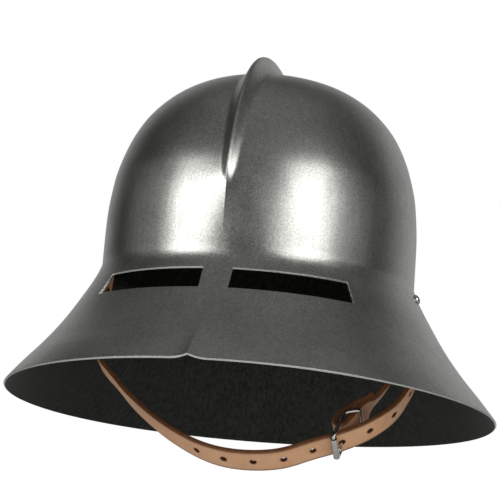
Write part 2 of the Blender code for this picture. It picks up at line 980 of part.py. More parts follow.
def tube(places, radius):
    """A closed round rod along straight runs, mitred at its bends."""
    builder = bmesh.new()
    along = tangents(np.array(places))
    rings = []
    for place, way in zip(places, along):
        square_to = np.array((1.0, 0.0, 0.0)) if abs(way @ plane_wide) > 0.9 else plane_wide
        first = unit(np.cross(way, square_to))
        second = np.cross(way, first)
        ring = []
        for i in range(rod_sides):
            turn = 2.0 * math.pi * (i + 0.5) / rod_sides
            aside = first * math.cos(turn) + second * math.sin(turn)
            ring.append(builder.verts.new(place + aside * radius))
        rings.append(ring)
    for here, after in zip(rings[:-1], rings[1:]):
        for i in range(rod_sides):
            k = (i + 1) % rod_sides
            builder.faces.new((here[i], here[k], after[k], after[i]))
    builder.faces.new(rings[0])
    builder.faces.new(rings[-1])
    return builder


def buckle_bars():
    """Middles of roller bar, middle bar, bend and end bar, and half the way between the rails."""
    _, roller, bar = buckle_layout(chin_strap_places())
    places, _, outer_count, _ = chape_places()
    outer = places[:outer_count]
    run = run_lengths(outer)
    place, _, outward = strap_frame(outer, run[-1] - buckle_upper_pitch)
    if outward[0] < 0.0:
        outward = -outward
    end = place + outward * (strap_thickness / 2.0 + edge_gap + bar_radius)
    bend = bar + unit(bar - roller) * buckle_bend_above_bar
    rail = strap_width / 2.0 + edge_gap + rail_radius
    return roller, bar, bend, end, rail


def make_buckle_frame():
    roller, bar, bend, end, rail = buckle_bars()
    rails = []
    for name, side in (("buckle_frame", 1.0), ("lower_rail_tool", -1.0)):
        shift = plane_wide * rail * side
        rails.append((name, tube([roller + shift, bar + shift, bend + shift, end + shift], rail_radius)))
    frame = finish_object(rails[0][0], rails[0][1], bright_steel)
    combine(frame, make_tool(*rails[1]), 'UNION')
    bars = (("roller_bar_tool", roller), ("middle_bar_tool", bar), ("end_bar_tool", end))
    for name, place in bars:
        reach = plane_wide * (rail + rail_radius / 2.0)
        combine(frame, make_tool(name, tube([place - reach, place + reach], bar_radius)), 'UNION')
    return frame


def make_roller():
    roller = buckle_bars()[0]
    half = strap_width / 2.0 + edge_gap - fit_gap
    bore = bar_radius + fit_gap
    profile = [(bore, -half), (roller_radius, -half), (roller_radius, half), (bore, half), (bore, -half)]
    builder = bmesh.new()
    rings = []
    for radius, height in profile[:-1]:
        ring = []
        for i in range(round_sides):
            turn = 2.0 * math.pi * i / round_sides
            ring.append(builder.verts.new((radius * math.cos(turn), radius * math.sin(turn), height)))
        rings.append(ring)
    for k in range(len(rings)):
        lower, upper = rings[k], rings[(k + 1) % len(rings)]
        for i in range(round_sides):
            j = (i + 1) % round_sides
            builder.faces.new((lower[i], lower[j], upper[j], upper[i]))
    turn = Vector((0.0, 0.0, 1.0)).rotation_difference(Vector(plane_wide)).to_matrix().to_4x4()
    bmesh.ops.transform(builder, matrix=Matrix.Translation(Vector(roller)) @ turn, verts=builder.verts[:])
    return finish_object("buckle_roller", builder, bright_steel)


def make_prong():
    """A hub round the middle bar with a straight prong through the strap and over the roller."""
    hole, roller, bar = buckle_layout(chin_strap_places())
    to_hole = unit(hole - bar)
    reach = float((roller - bar) @ to_hole) + prong_overhang
    half = prong_hub_width / 2.0
    hub_profile = [(0.0, -half), (prong_hub_radius, -half), (prong_hub_radius, half), (0.0, half)]
    hub = finish_object("buckle_prong", turn_profile(hub_profile, bar, plane_wide), bright_steel)
    rod = tube([bar, bar + to_hole * reach], prong_radius)
    combine(hub, make_tool("prong_rod_tool", rod), 'UNION')
    bore = bar_radius + fit_gap
    profile = [(0.0, -2.0 * half), (bore, -2.0 * half), (bore, 2.0 * half), (0.0, 2.0 * half)]
    combine(hub, make_tool("prong_bore_tool", turn_profile(profile, bar, plane_wide)), 'DIFFERENCE')
    return hub


def make_shell():
    shell = finish_object("helmet_shell", make_sheet(), steel, smooth_angle=math.radians(28.0))
    for name, side in (("shell_rivet_tool_left", 1.0), ("shell_rivet_tool_right", -1.0)):
        combine(shell, rivet_hole_tool(name, side), 'DIFFERENCE')
    return shell


clear_scene()
make_shell()
make_rivet("rivet_left", 1.0)
make_rivet("rivet_right", -1.0)
make_chin_strap()
make_buckle_strap()
make_buckle_frame()
make_roller()
make_prong()
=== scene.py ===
# Kettle hat, dressed for its picture: raised steel hat with comb and sights, and a buckled chin strap.
# Metres, +Z up. The origin is the middle of the head opening at the waist, the front faces -Y.
import math

import bmesh
import bpy
import numpy as np
from mathutils import Matrix, Vector


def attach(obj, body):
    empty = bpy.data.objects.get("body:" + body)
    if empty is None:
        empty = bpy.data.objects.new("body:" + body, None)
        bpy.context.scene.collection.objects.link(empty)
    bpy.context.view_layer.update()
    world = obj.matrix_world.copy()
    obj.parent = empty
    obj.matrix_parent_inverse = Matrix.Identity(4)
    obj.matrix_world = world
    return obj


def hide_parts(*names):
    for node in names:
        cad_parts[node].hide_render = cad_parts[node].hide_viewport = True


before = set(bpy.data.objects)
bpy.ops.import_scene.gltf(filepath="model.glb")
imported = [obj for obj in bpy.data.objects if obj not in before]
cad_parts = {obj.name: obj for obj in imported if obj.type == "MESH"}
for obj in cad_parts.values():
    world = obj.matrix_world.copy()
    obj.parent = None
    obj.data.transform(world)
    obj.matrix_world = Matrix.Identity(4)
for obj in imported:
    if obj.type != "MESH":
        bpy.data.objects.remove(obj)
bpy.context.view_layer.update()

print("frame loaded:", len(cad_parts), "nodes")


# Camera, at the photograph's angle

cameraView = {
    "azimuth": 12.3,        # degrees from straight ahead, toward +X
    "elevation": -11.12,    # looks up at the hat from a little below it
    "roll": 4.32,
    "distance": 1.8,
    "aim": (-0.0093, 0.0060, 0.0245),
    "lens": 178.1,
    "sensor": 36.0,
}


def addCamera(view):
    azimuth = math.radians(view["azimuth"])
    elevation = math.radians(view["elevation"])
    roll = math.radians(view["roll"])
    back = Vector((
        math.sin(azimuth) * math.cos(elevation),
        -math.cos(azimuth) * math.cos(elevation),
        math.sin(elevation),
    ))
    flatRight = Vector((math.cos(azimuth), math.sin(azimuth), 0.0))
    flatUp = back.cross(flatRight)
    right = flatRight * math.cos(roll) + flatUp * math.sin(roll)
    up = flatUp * math.cos(roll) - flatRight * math.sin(roll)
    place = Vector(view["aim"]) + back * view["distance"]
    data = bpy.data.cameras.new("photoCamera")
    data.lens = view["lens"]
    data.sensor_width = view["sensor"]
    data.clip_start = 0.05
    cam = bpy.data.objects.new("photoCamera", data)
    turn = Matrix((right, up, back)).transposed().to_4x4()
    cam.matrix_world = Matrix.Translation(place) @ turn
    bpy.context.collection.objects.link(cam)
    bpy.context.scene.camera = cam
    bpy.context.scene.view_settings.view_transform = "Standard"


addCamera(cameraView)
print("camera placed")


# Node helpers

def wire(tree, start, end):
    tree.links.new(start, end)


def feed(tree, socket, value):
    # a number or a colour is set on the socket, anything else is wired to it
    if isinstance(value, (int, float)):
        socket.default_value = value
    elif isinstance(value, tuple):
        socket.default_value = (*value, 1.0)
    else:
        wire(tree, value, socket)


def mathNode(tree, operation, first, second=0.0, third=None, clamp=False):
    node = tree.nodes.new("ShaderNodeMath")
    node.operation = operation
    node.use_clamp = clamp
    for socket, value in zip(node.inputs, (first, second, third)):
        if value is not None:
            feed(tree, socket, value)
    return node.outputs[0]


def vectorNode(tree, operation, *values):
    node = tree.nodes.new("ShaderNodeVectorMath")
    node.operation = operation
    for socket, value in zip(node.inputs, values):
        if isinstance(value, tuple):
            socket.default_value = value
        else:
            wire(tree, value, socket)
    return node.outputs["Vector"]


def rampNode(tree, fac, stops):
    # two stops, each with its place and a grey or a colour
    node = tree.nodes.new("ShaderNodeValToRGB")
    for element, (at, colour) in zip(node.color_ramp.elements, stops):
        element.position = at
        element.color = (colour, colour, colour, 1.0) if isinstance(colour, float) else (*colour, 1.0)
    wire(tree, fac, node.inputs["Fac"])
    return node.outputs["Color"]


def mixColour(tree, fac, first, second):
    node = tree.nodes.new("ShaderNodeMix")
    node.data_type = "RGBA"
    # the node has several sockets of each name, so the colour ones are taken by their place
    for place, value in zip((0, 6, 7), (fac, first, second)):
        feed(tree, node.inputs[place], value)
    return node.outputs[2]


def blendNode(tree, fac, first, second):
    # the same for plain values
    node = tree.nodes.new("ShaderNodeMix")
    for place, value in zip((0, 2, 3), (fac, first, second)):
        feed(tree, node.inputs[place], value)
    return node.outputs[0]


def easeNode(tree, value, fade):
    # 0 at the fade's first value, 1 at its second
    node = tree.nodes.new("ShaderNodeMapRange")
    node.interpolation_type = "SMOOTHSTEP"
    node.inputs["From Min"].default_value = fade[0]
    node.inputs["From Max"].default_value = fade[1]
    wire(tree, value, node.inputs["Value"])
    return node.outputs["Result"]


def newGroup(name, inputs, outputs):
    # inputs: (name, type, default); outputs: (name, type)
    group = bpy.data.node_groups.new(name, "ShaderNodeTree")
    for label, kind, default in inputs:
        socket = group.interface.new_socket(name=label, in_out="INPUT", socket_type=kind)
        if default is not None:
            socket.default_value = default
    for label, kind in outputs:
        group.interface.new_socket(name=label, in_out="OUTPUT", socket_type=kind)
    return group, group.nodes.new("NodeGroupInput").outputs, group.nodes.new("NodeGroupOutput").inputs


def noiseNode(tree, vector, scale, detail, roughness):
    node = tree.nodes.new("ShaderNodeTexNoise")
    wire(tree, vector, node.inputs["Vector"])
    for label, value in (("Scale", scale), ("Detail", detail), ("Roughness", roughness)):
        feed(tree, node.inputs[label], value)
    return node.outputs["Fac"]


def stretchNode(tree, vector, scale):
    node = tree.nodes.new("ShaderNodeMapping")
    node.inputs["Scale"].default_value = scale
    wire(tree, vector, node.inputs["Vector"])
    return node.outputs["Vector"]


def placeGroup(tree, group, **values):
    node = tree.nodes.new("ShaderNodeGroup")
    node.node_tree = group
    for label, value in values.items():
        feed(tree, node.inputs[label], value)
    return node.outputs


def objectVector(tree):
    return tree.nodes.new("ShaderNodeTexCoord").outputs["Object"]


def newMaterial(name, metallic, roughness, colour):
    material = bpy.data.materials.new(name)
    material.use_nodes = True
    shader = material.node_tree.nodes["Principled BSDF"]
    shader.inputs["Base Color"].default_value = (*colour, 1.0)
    shader.inputs["Metallic"].default_value = metallic
    shader.inputs["Roughness"].default_value = roughness
    return material, material.node_tree, shader.inputs


def addBump(tree, height, target, strength, distance, normal=None):
    node = tree.nodes.new("ShaderNodeBump")
    node.inputs["Strength"].default_value = strength
    node.inputs["Distance"].default_value = distance
    wire(tree, height, node.inputs["Height"])
    if normal is not None:
        wire(tree, normal, node.inputs["Normal"])
    wire(tree, node.outputs["Normal"], target)
    return node.outputs["Normal"]


# Effects that several materials share

def makeFineGrain():
    # fine speckle left by abrasive finishing, with faint longer scratches
    group, given, out = newGroup("fineGrain", [
        ("Vector", "NodeSocketVector", None),
        ("Scale", "NodeSocketFloat", 1500.0),
        ("Scratch Scale", "NodeSocketFloat", 160.0),
    ], [("Height", "NodeSocketFloat"), ("Mask", "NodeSocketFloat")])
    speckle = noiseNode(group, given["Vector"], given["Scale"], 3.0, 0.6)
    stretched = stretchNode(group, given["Vector"], (1.0, 1.0, 0.12))
    scratch = noiseNode(group, stretched, given["Scratch Scale"], 4.0, 0.7)
    sharp = rampNode(group, scratch, [(0.42, 0.0), (0.62, 1.0)])
    wire(group, mathNode(group, "MULTIPLY_ADD", speckle, 0.94, mathNode(group, "MULTIPLY", sharp, 0.06)),
         out["Height"])
    wire(group, sharp, out["Mask"])
    return group


def makeSoftMottle():
    # broad cloudy change in tone, as handled metal and leather have
    group, given, out = newGroup("softMottle", [
        ("Vector", "NodeSocketVector", None),
        ("Scale", "NodeSocketFloat", 12.0),
        ("Contrast", "NodeSocketFloat", 1.0),
    ], [("Value", "NodeSocketFloat")])
    broad = noiseNode(group, given["Vector"], given["Scale"], 4.0, 0.55)
    centred = mathNode(group, "SUBTRACT", broad, 0.5)
    wire(group, mathNode(group, "MULTIPLY_ADD", centred, given["Contrast"], 0.5, clamp=True), out["Value"])
    return group


def makeWipeMarks():
    # patches and streaks where a cloth or a hand dulled the finish
    group, given, out = newGroup("wipeMarks", [
        ("Vector", "NodeSocketVector", None),
        ("Scale", "NodeSocketFloat", 30.0),
    ], [("Mask", "NodeSocketFloat")])
    patch = noiseNode(group, given["Vector"], given["Scale"], 5.0, 0.6)
    streaked = noiseNode(group, stretchNode(group, given["Vector"], (0.35, 1.0, 1.6)),
                         mathNode(group, "MULTIPLY", given["Scale"], 5.0), 3.0, 0.6)
    blended = mathNode(group, "MULTIPLY_ADD", patch, 0.65, mathNode(group, "MULTIPLY", streaked, 0.35))
    wire(group, rampNode(group, blended, [(0.46, 0.0), (0.6, 1.0)]), out["Mask"])
    return group


def makeHoleShadeRing():
    # how near a place is to the border of the strap's next hole, for a ring of painted shade round it
    group, given, out = newGroup("holeShadeRing", [
        ("Route", "NodeSocketVector", None),
        ("Middle", "NodeSocketFloat", 0.0),
        ("Pitch", "NodeSocketFloat", 0.02),
        ("Radius", "NodeSocketFloat", 0.002),
        ("Reach", "NodeSocketFloat", 0.001),
        ("First", "NodeSocketFloat", -5.0),
        ("Last", "NodeSocketFloat", 3.0),
    ], [("Mask", "NodeSocketFloat")])
    split = group.nodes.new("ShaderNodeSeparateXYZ")
    wire(group, given["Route"], split.inputs[0])
    run = mathNode(group, "SUBTRACT", split.outputs["X"], given["Middle"])
    steps = mathNode(group, "DIVIDE", run, given["Pitch"])
    nearest = mathNode(group, "MINIMUM", mathNode(group, "ROUND", steps), given["Last"])
    nearest = mathNode(group, "MAXIMUM", nearest, given["First"])
    along = mathNode(group, "MULTIPLY", mathNode(group, "SUBTRACT", steps, nearest), given["Pitch"])
    squared = mathNode(group, "ADD", mathNode(group, "POWER", mathNode(group, "ABSOLUTE", along), 2.0),
                       mathNode(group, "POWER", mathNode(group, "ABSOLUTE", split.outputs["Y"]), 2.0))
    beyond = mathNode(group, "SUBTRACT", mathNode(group, "SQRT", squared), given["Radius"])
    faded = mathNode(group, "SUBTRACT", 1.0, mathNode(group, "DIVIDE", beyond, given["Reach"]), clamp=True)
    wire(group, mathNode(group, "POWER", faded, 2.0), out["Mask"])
    return group


fineGrain = makeFineGrain()
softMottle = makeSoftMottle()
wipeMarks = makeWipeMarks()
holeShadeRing = makeHoleShadeRing()
print("shared effects built")


# Steel hat: shape

hatShape = {
    "crownHalfWidth": 0.112,
    "crownHalfLength": 0.1277,
    "crownHeight": 0.1534,
    "crownTopSetBack": 0.0162,  # of the crown's top, behind the middle of the waist
    "brimDrop": 0.0895,         # from the waist to the rim
    "rimHalfWidth": 0.1752,
    "rimFrontReach": 0.2077,
    "rimRearReach": 0.2227,
    "rimSetBack": 0.008,        # of the rim's middle
    "brimForwardLean": 0.0018,  # of the brim half way down
    "rimSideDip": 0.0016,       # the rim is this much lower at the sides, and higher at front and rear
    "wall": 0.0016,
    "sightTopDrop": 0.0162,     # from the waist
    "sightHeight": 0.0157,
    "noseBridge": 0.0204,       # between the two sights
    "sightEndAngle": math.radians(43.3),
    "combHeight": 0.012,
    "combHalfWidth": 0.0095,
    "combEdgeRadius": 0.0012,
    "combFlankPower": 1.6,
    "combInnerWalls": 1.4,      # how far each flank moves in on the inside, in walls
    "combTaper": 0.62,          # how far the comb narrows toward its front end
    "combFullShare": 0.62,      # share of its height at which it has its full width
    "keelHeight": 0.0025,
    "keelHalfWidth": 0.03,
    "creaseHeight": 0.0036,
    "creaseHalfWidth": 0.0125,
    "edgeRound": 0.00048,       # width of the softened edges
    "patchLevel": 0.78,         # where the rings end and the grid over the top starts
    "bridgeColumns": 12,        # from the middle to the sight
    "bridgePower": 1.5,         # crowds them towards the comb's edge
    "pastBridge": (1.17, 1.37), # two more columns, in half widths of the bridge
    "outerColumns": 26,         # along a sight
    "sideColumns": 50,
    "crownRows": 36,
    "aboveSightRows": 6,
    "sightRows": 6,
    "belowSightRows": 40,
    "halvings": 40,             # steps of every search by halving
}

# share of the crown's height, share of its half width
crownSections = [(0.00, 1.000), (0.20, 0.998), (0.40, 0.975), (0.55, 0.925), (0.70, 0.835), (0.82, 0.703),
                 (0.91, 0.532), (0.973, 0.290), (1.00, 0.000)]
# share of the brim's drop, share of the way out to the rim
brimSections = [(0.00, 0.000), (0.12, 0.078), (0.30, 0.227), (0.50, 0.409), (0.70, 0.629), (0.85, 0.819),
                (1.00, 1.000)]
# the same at the front, where the sheet leaves the waist more gently
brimFrontSections = [(0.00, 0.000), (0.06, 0.010), (0.12, 0.038), (0.18, 0.080), (0.30, 0.170), (0.50, 0.365),
                     (0.70, 0.605), (0.85, 0.810), (1.00, 1.000)]
# share of the half turn from front waist to rear waist, share of the comb's height
combStations = [(0.108, 0.00), (0.122, 0.15), (0.14, 0.27), (0.17, 0.37), (0.24, 0.52), (0.30, 0.71),
                (0.36, 0.93), (0.44, 1.00), (0.52, 0.93), (0.62, 0.80), (0.74, 0.55), (0.84, 0.25),
                (0.92, 0.00)]
# level, share of the keel's height
keelStations = [(0.02, 0.00), (0.12, 0.20), (0.24, 0.70), (0.33, 1.00), (0.44, 0.60), (0.58, 0.00)]
# level, share of the crease's height
creaseStations = [(-1.00, 1.00), (-0.90, 0.66), (-0.76, 0.28), (-0.55, 0.00)]


def endSlope(step, nextStep, rise, nextRise):
    # slope of a steady curve at its first or last row
    slope = ((2.0 * step + nextStep) * rise - step * nextRise) / (step + nextStep)
    if slope * rise <= 0.0:
        return 0.0
    if rise * nextRise <= 0.0 and abs(slope) > abs(3.0 * rise):
        return 3.0 * rise
    return slope


def steadyCurve(table, squared=False):
    # smooth curve through a short table that never overshoots, straight past its ends
    rows = np.array(sorted(table))
    places = rows[:, 0]
    values = rows[:, 1] ** 2 if squared else rows[:, 1]
    steps = np.diff(places)
    rises = np.diff(values) / steps
    slopes = np.zeros(len(values))
    for i in range(1, len(values) - 1):
        if rises[i - 1] * rises[i] > 0.0:
            before = 2.0 * steps[i] + steps[i - 1]
            after = steps[i] + 2.0 * steps[i - 1]
            slopes[i] = (before + after) / (before / rises[i - 1] + after / rises[i])
    slopes[0] = endSlope(steps[0], steps[1], rises[0], rises[1])
    slopes[-1] = endSlope(steps[-1], steps[-2], rises[-1], rises[-2])

    def read(at):
        at = np.asarray(at, dtype=float)
        inside = np.clip(at, places[0], places[-1])
        span = np.clip(np.searchsorted(places, inside, side="right") - 1, 0, len(places) - 2)
        step = places[span + 1] - places[span]
        part = (inside - places[span]) / step
        rest = 1.0 - part
        value = values[span] * (1.0 + 2.0 * part) * rest ** 2
        value = value + slopes[span] * step * part * rest ** 2
        value = value + values[span + 1] * part ** 2 * (3.0 - 2.0 * part)
        value = value - slopes[span + 1] * step * part ** 2 * rest
        return value + np.where(at > places[-1], slopes[-1], slopes[0]) * (at - inside)

    return read


crownSpread = steadyCurve(crownSections, squared=True)
brimSpread = steadyCurve(brimSections)
brimFrontSpread = steadyCurve(brimFrontSections)


def stationCurve(table):
    read = steadyCurve(table)
    places = [row[0] for row in table]
    return lambda at: np.where((at < min(places)) | (at > max(places)), 0.0, read(at))


combShare = stationCurve(combStations)
keelShare = stationCurve(keelStations)
creaseShare = stationCurve(creaseStations)


def rimDepth(angle):
    return hatShape["brimDrop"] - hatShape["rimSideDip"] * np.cos(2.0 * angle)


def hatSection(level):
    # level is 0 at the waist, 1 at the top of the crown, -1 at the rim
    up = np.clip(level, 0.0, None)
    down = np.clip(-np.asarray(level, dtype=float), 0.0, None)
    out = brimSpread(down)
    shrink = np.sqrt(np.clip(crownSpread(up), 0.0, None))
    crownWidth = hatShape["crownHalfWidth"]
    crownLength = hatShape["crownHalfLength"]
    width = shrink * crownWidth + (hatShape["rimHalfWidth"] - crownWidth) * out
    front = shrink * crownLength + (hatShape["rimFrontReach"] - crownLength) * brimFrontSpread(down)
    rear = shrink * crownLength + (hatShape["rimRearReach"] - crownLength) * out
    middle = hatShape["crownTopSetBack"] * up ** 2 + hatShape["rimSetBack"] * down
    middle = middle - hatShape["brimForwardLean"] * 4.0 * down * (1.0 - down)
    return width, front, rear, middle


def ringPlaces(level, angles):
    width, front, rear, middle = hatSection(level)
    forward = np.cos(angles)
    reach = np.where(forward > 0.0, front, rear)
    height = hatShape["crownHeight"] * level if level > 0.0 else rimDepth(angles) * level
    heights = np.broadcast_to(height, angles.shape)
    return np.stack([width * np.sin(angles), middle - reach * forward, heights], axis=1)


def outwardness(places):
    # below zero inside the plain outer surface, above zero outside it
    x, y, z = places[..., 0], places[..., 1], places[..., 2]
    angle = np.arctan2(x / hatShape["crownHalfWidth"], -y / hatShape["crownHalfLength"])
    level = np.where(z > 0.0, z / hatShape["crownHeight"], z / rimDepth(angle))
    width, front, rear, _ = hatSection(np.minimum(level, 0.0))
    middle = hatSection(level)[3]
    reach = np.where(y < middle, front, rear)
    limit = np.where(level > 0.0, crownSpread(np.maximum(level, 0.0)), 1.0)
    return (x / width) ** 2 + ((y - middle) / reach) ** 2 - limit


def outwardNormals(places):
    nudge = 0.0004              # step to either side, for the slopes
    slopes = []
    for axis in range(3):
        offset = np.zeros(3)
        offset[axis] = nudge
        slopes.append(outwardness(places + offset) - outwardness(places - offset))
    slopes = np.stack(slopes, axis=-1)
    return slopes / np.linalg.norm(slopes, axis=-1, keepdims=True)


def combProfile(side):
    # share of the comb's height at a distance from its middle
    radius = hatShape["combEdgeRadius"]
    rounded = np.sqrt(side ** 2 + radius ** 2) - radius
    foot = math.sqrt(hatShape["combHalfWidth"] ** 2 + radius ** 2) - radius
    return np.maximum(0.0, 1.0 - rounded / foot) ** hatShape["combFlankPower"]


def reliefOf(places, inner):
    # how far comb, keel and crease stand out of the plain surface
    x, y, z = places[:, 0], places[:, 1], places[:, 2]
    side = np.abs(x)
    combSide = side + hatShape["combInnerWalls"] * hatShape["wall"] if inner else side
    level = np.where(z > 0.0, z / hatShape["crownHeight"], z / hatShape["brimDrop"])
    turn = np.arctan2(z, -y) / math.pi
    share = combShare(turn)
    filled = np.clip(share / hatShape["combFullShare"], 0.0, 1.0)
    narrowed = np.where(y < 0.0, 1.0 - hatShape["combTaper"] * (1.0 - filled), 1.0)
    comb = hatShape["combHeight"] * share * combProfile(combSide / narrowed)
    keel = np.maximum(0.0, 1.0 - side / hatShape["keelHalfWidth"]) ** 2
    crease = np.maximum(0.0, 1.0 - side / hatShape["creaseHalfWidth"]) ** 2
    front = hatShape["keelHeight"] * keel * keelShare(level)
    front = front + hatShape["creaseHeight"] * crease * creaseShare(np.maximum(level, -1.0))
    return comb + np.where(y < 0.0, front, 0.0)


def crownTopHeights(x, y):
    # heights of the plain surface over the grid's places
    margin = 0.06               # the search starts this far below the grid's edge
    low = np.full(x.shape, hatShape["crownHeight"] * (hatShape["patchLevel"] - margin))
    high = np.full(x.shape, hatShape["crownHeight"])
    for _ in range(hatShape["halvings"]):
        middle = 0.5 * (low + high)
        inside = outwardness(np.stack([x, y, middle], axis=-1)) < 0.0
        low = np.where(inside, middle, low)
        high = np.where(inside, high, middle)
    return 0.5 * (low + high)


def bridgeOffsets():
    # distances from the middle of the columns up to the sight's inner end and just past it
    half = hatShape["noseBridge"] / 2.0
    count = hatShape["bridgeColumns"]
    offsets = [half * (i / count) ** hatShape["bridgePower"] for i in range(count + 1)]
    return np.array(offsets + [half * share for share in hatShape["pastBridge"]])


def ringAngles(level):
    # columns of one ring, from the front's -X end over +X and the rear back to it
    half = np.arcsin(bridgeOffsets() / float(hatSection(level)[0]))
    end = hatShape["sightEndAngle"]
    shares = np.arange(1, hatShape["outerColumns"] + 1) / hatShape["outerColumns"]
    half = np.concatenate([half, half[-1] + (end - half[-1]) * shares])
    front = np.concatenate([-half[::-1], half[1:]])
    sweep = math.pi - 2.0 * end
    side = end + sweep * np.arange(1, hatShape["sideColumns"] + 1) / (hatShape["sideColumns"] + 1)
    return np.concatenate([front, side, math.pi - front[::-1], -side[::-1]])


def hatLevels():
    # levels of all rings, and the number of the first one at the sights
    sightRows = hatShape["sightRows"]
    sightTop = hatShape["sightTopDrop"] / hatShape["brimDrop"]
    sightFoot = (hatShape["sightTopDrop"] + hatShape["sightHeight"]) / hatShape["brimDrop"]
    levels = list(hatShape["patchLevel"] * (1.0 - np.arange(hatShape["crownRows"]) / hatShape["crownRows"]))
    levels += list(-sightTop * np.arange(hatShape["aboveSightRows"]) / hatShape["aboveSightRows"])
    first = len(levels)
    levels += list(-sightTop - (sightFoot - sightTop) * np.arange(sightRows) / sightRows)
    below = hatShape["belowSightRows"]
    levels += list(-sightFoot - (1.0 - sightFoot) * np.arange(below + 1) / below)
    return levels, first


def topPatch():
    # grid over the top of the crown, rows from front to rear, columns from -X to +X
    ring = ringPlaces(hatShape["patchLevel"], ringAngles(hatShape["patchLevel"]))
    steady = len(bridgeOffsets()) - 1
    last = steady + hatShape["outerColumns"]
    width = 2 * last + 1
    sides = hatShape["sideColumns"]
    front = ring[:width]
    rear = ring[width + sides:2 * width + sides][::-1]
    edge = np.vstack([front[-1:], ring[width:width + sides], rear[-1:]])
    innerX = front[last + steady][0]
    outer = np.abs(np.arange(width) - last) > steady
    part = (np.abs(front[:, 0]) - innerX) / (front[-1][0] - innerX)
    level = hatShape["crownHeight"] * hatShape["patchLevel"]
    rows = []
    for j, atEdge in enumerate(edge):
        back = (atEdge[1] - edge[0][1]) / (edge[-1][1] - edge[0][1])
        fitted = np.sign(front[:, 0]) * (innerX + (atEdge[0] - innerX) * part)
        x = np.where(outer, fitted, front[:, 0])
        y = front[:, 1] + (rear[:, 1] - front[:, 1]) * back
        z = crownTopHeights(x, y)
        if j in (0, len(edge) - 1):
            z[:] = level
        z[0] = z[-1] = level
        rows.append(np.stack([x, y, z], axis=1))
    return np.array(rows)


def hatRings():
    # plain places of the grid and of every ring below it, and their numbers
    patch = topPatch()
    rowCount, width = patch.shape[:2]
    grid = np.arange(rowCount * width).reshape(rowCount, width)
    border = list(grid[0]) + list(grid[1:-1, -1]) + list(grid[-1][::-1]) + list(grid[1:-1, 0][::-1])
    levels, firstSightRing = hatLevels()
    plain = [patch.reshape(-1, 3)]
    rings = [border]
    at = grid.size
    for level in levels[1:]:
        places = ringPlaces(level, ringAngles(level))
        plain.append(places)
        rings.append(list(range(at, at + len(places))))
        at += len(places)
    return np.vstack(plain), grid, rings, firstSightRing


def buildHatMesh():
    # kinds are the material slots: 0 outside, 1 inside, 2 the cut borders
    plain, grid, rings, firstSightRing = hatRings()
    normals = outwardNormals(plain)
    outer = plain + normals * reliefOf(plain, False)[:, None]
    inner = plain + normals * (reliefOf(plain, True) - hatShape["wall"])[:, None]
    verts = np.vstack([outer, inner])
    shift = len(plain)          # from a place outside to the one under it inside
    faces = []
    kinds = []

    def addSides(a, b, c, d):
        faces.append((a, b, c, d))
        faces.append((a + shift, d + shift, c + shift, b + shift))
        kinds.extend((0, 1))

    def addBorder(loop):
        for here, after in zip(loop, loop[1:] + loop[:1]):
            faces.append((here, after, after + shift, here + shift))
            kinds.append(2)

    rowCount, width = grid.shape
    for j in range(rowCount - 1):
        for i in range(width - 1):
            addSides(grid[j][i], grid[j][i + 1], grid[j + 1][i + 1], grid[j + 1][i])
    half = width // 2
    bridge = hatShape["bridgeColumns"]
    openColumns = set(range(half + bridge, width - 1)) | set(range(0, half - bridge))
    openRings = range(firstSightRing, firstSightRing + hatShape["sightRows"])
    count = len(rings[0])
    for r in range(len(rings) - 1):
        for c in range(count):
            if r in openRings and c in openColumns:
                continue
            d = (c + 1) % count
            addSides(rings[r][d], rings[r][c], rings[r + 1][c], rings[r + 1][d])
    lastRing = firstSightRing + hatShape["sightRows"]
    for start, end in ((half + bridge, width - 1), (0, half - bridge)):
        loop = [rings[firstSightRing][c] for c in range(start, end)]
        loop += [rings[r][end] for r in range(firstSightRing, lastRing)]
        loop += [rings[lastRing][c] for c in range(end, start, -1)]
        loop += [rings[r][start] for r in range(lastRing, firstSightRing, -1)]
        addBorder(loop)
    addBorder(rings[-1])
    return verts, faces, kinds


# Pieces of any kind

smoothAngle = 40.0              # edges flatter than this are shaded smooth, unless a piece has its own


def turnFacesOut(mesh):
    builder = bmesh.new()
    builder.from_mesh(mesh)
    bmesh.ops.recalc_face_normals(builder, faces=builder.faces[:])
    builder.to_mesh(mesh)
    builder.free()


def meshOf(name, verts, faces, materials=()):
    mesh = bpy.data.meshes.new(name)
    mesh.from_pydata([tuple(v) for v in verts], [], [tuple(int(i) for i in face) for face in faces])
    for material in materials:
        mesh.materials.append(material)
    return mesh


def placeMesh(name, mesh):
    piece = bpy.data.objects.new(name, mesh)
    bpy.context.collection.objects.link(piece)
    return piece


def finishPiece(piece, replaced, angle=smoothAngle):
    piece.data.shade_smooth()
    piece.data.set_sharp_from_angle(angle=math.radians(angle))
    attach(piece, "root")
    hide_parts(*replaced)
    return piece


# Steel hat: finish

steelLook = {
    "colour": (0.40, 0.40, 0.395),
    "dark": (0.285, 0.288, 0.270),
    "light": (0.495, 0.498, 0.468),
    "roughness": 0.31,
    "grainScale": 1000.0,
    "scratchScale": 260.0,
    "grainShare": 0.82,         # of the tone
    "grainRough": 0.10,
    "grainBump": 0.75,
    "cloudScale": 13.0,
    "cloudContrast": 1.6,
    "cloudShare": 0.18,         # of the tone
    "cloudRough": 0.08,
    "wipedColour": (0.27, 0.268, 0.26),
    "wipedScale": 46.0,
    "wipedShare": 0.14,
    "wipedRough": 0.03,
    "hammerScale": 30.0,
    "hammerBump": 0.10,
}

insideLook = {
    "colour": (0.022, 0.026, 0.021),
    "dark": (0.004, 0.0048, 0.0034),
    "light": (0.040, 0.045, 0.034),
    "streakScale": 84.0,
    "streakRise": 3.0,          # how fast streaks change downward, so that they stay short
    "streakShare": 0.6,         # of the tone
    "cloudScale": 30.0,
    "cloudShare": 0.12,
    "speckScale": 420.0,
    "speckShare": 0.28,
    "bump": 0.8,
}

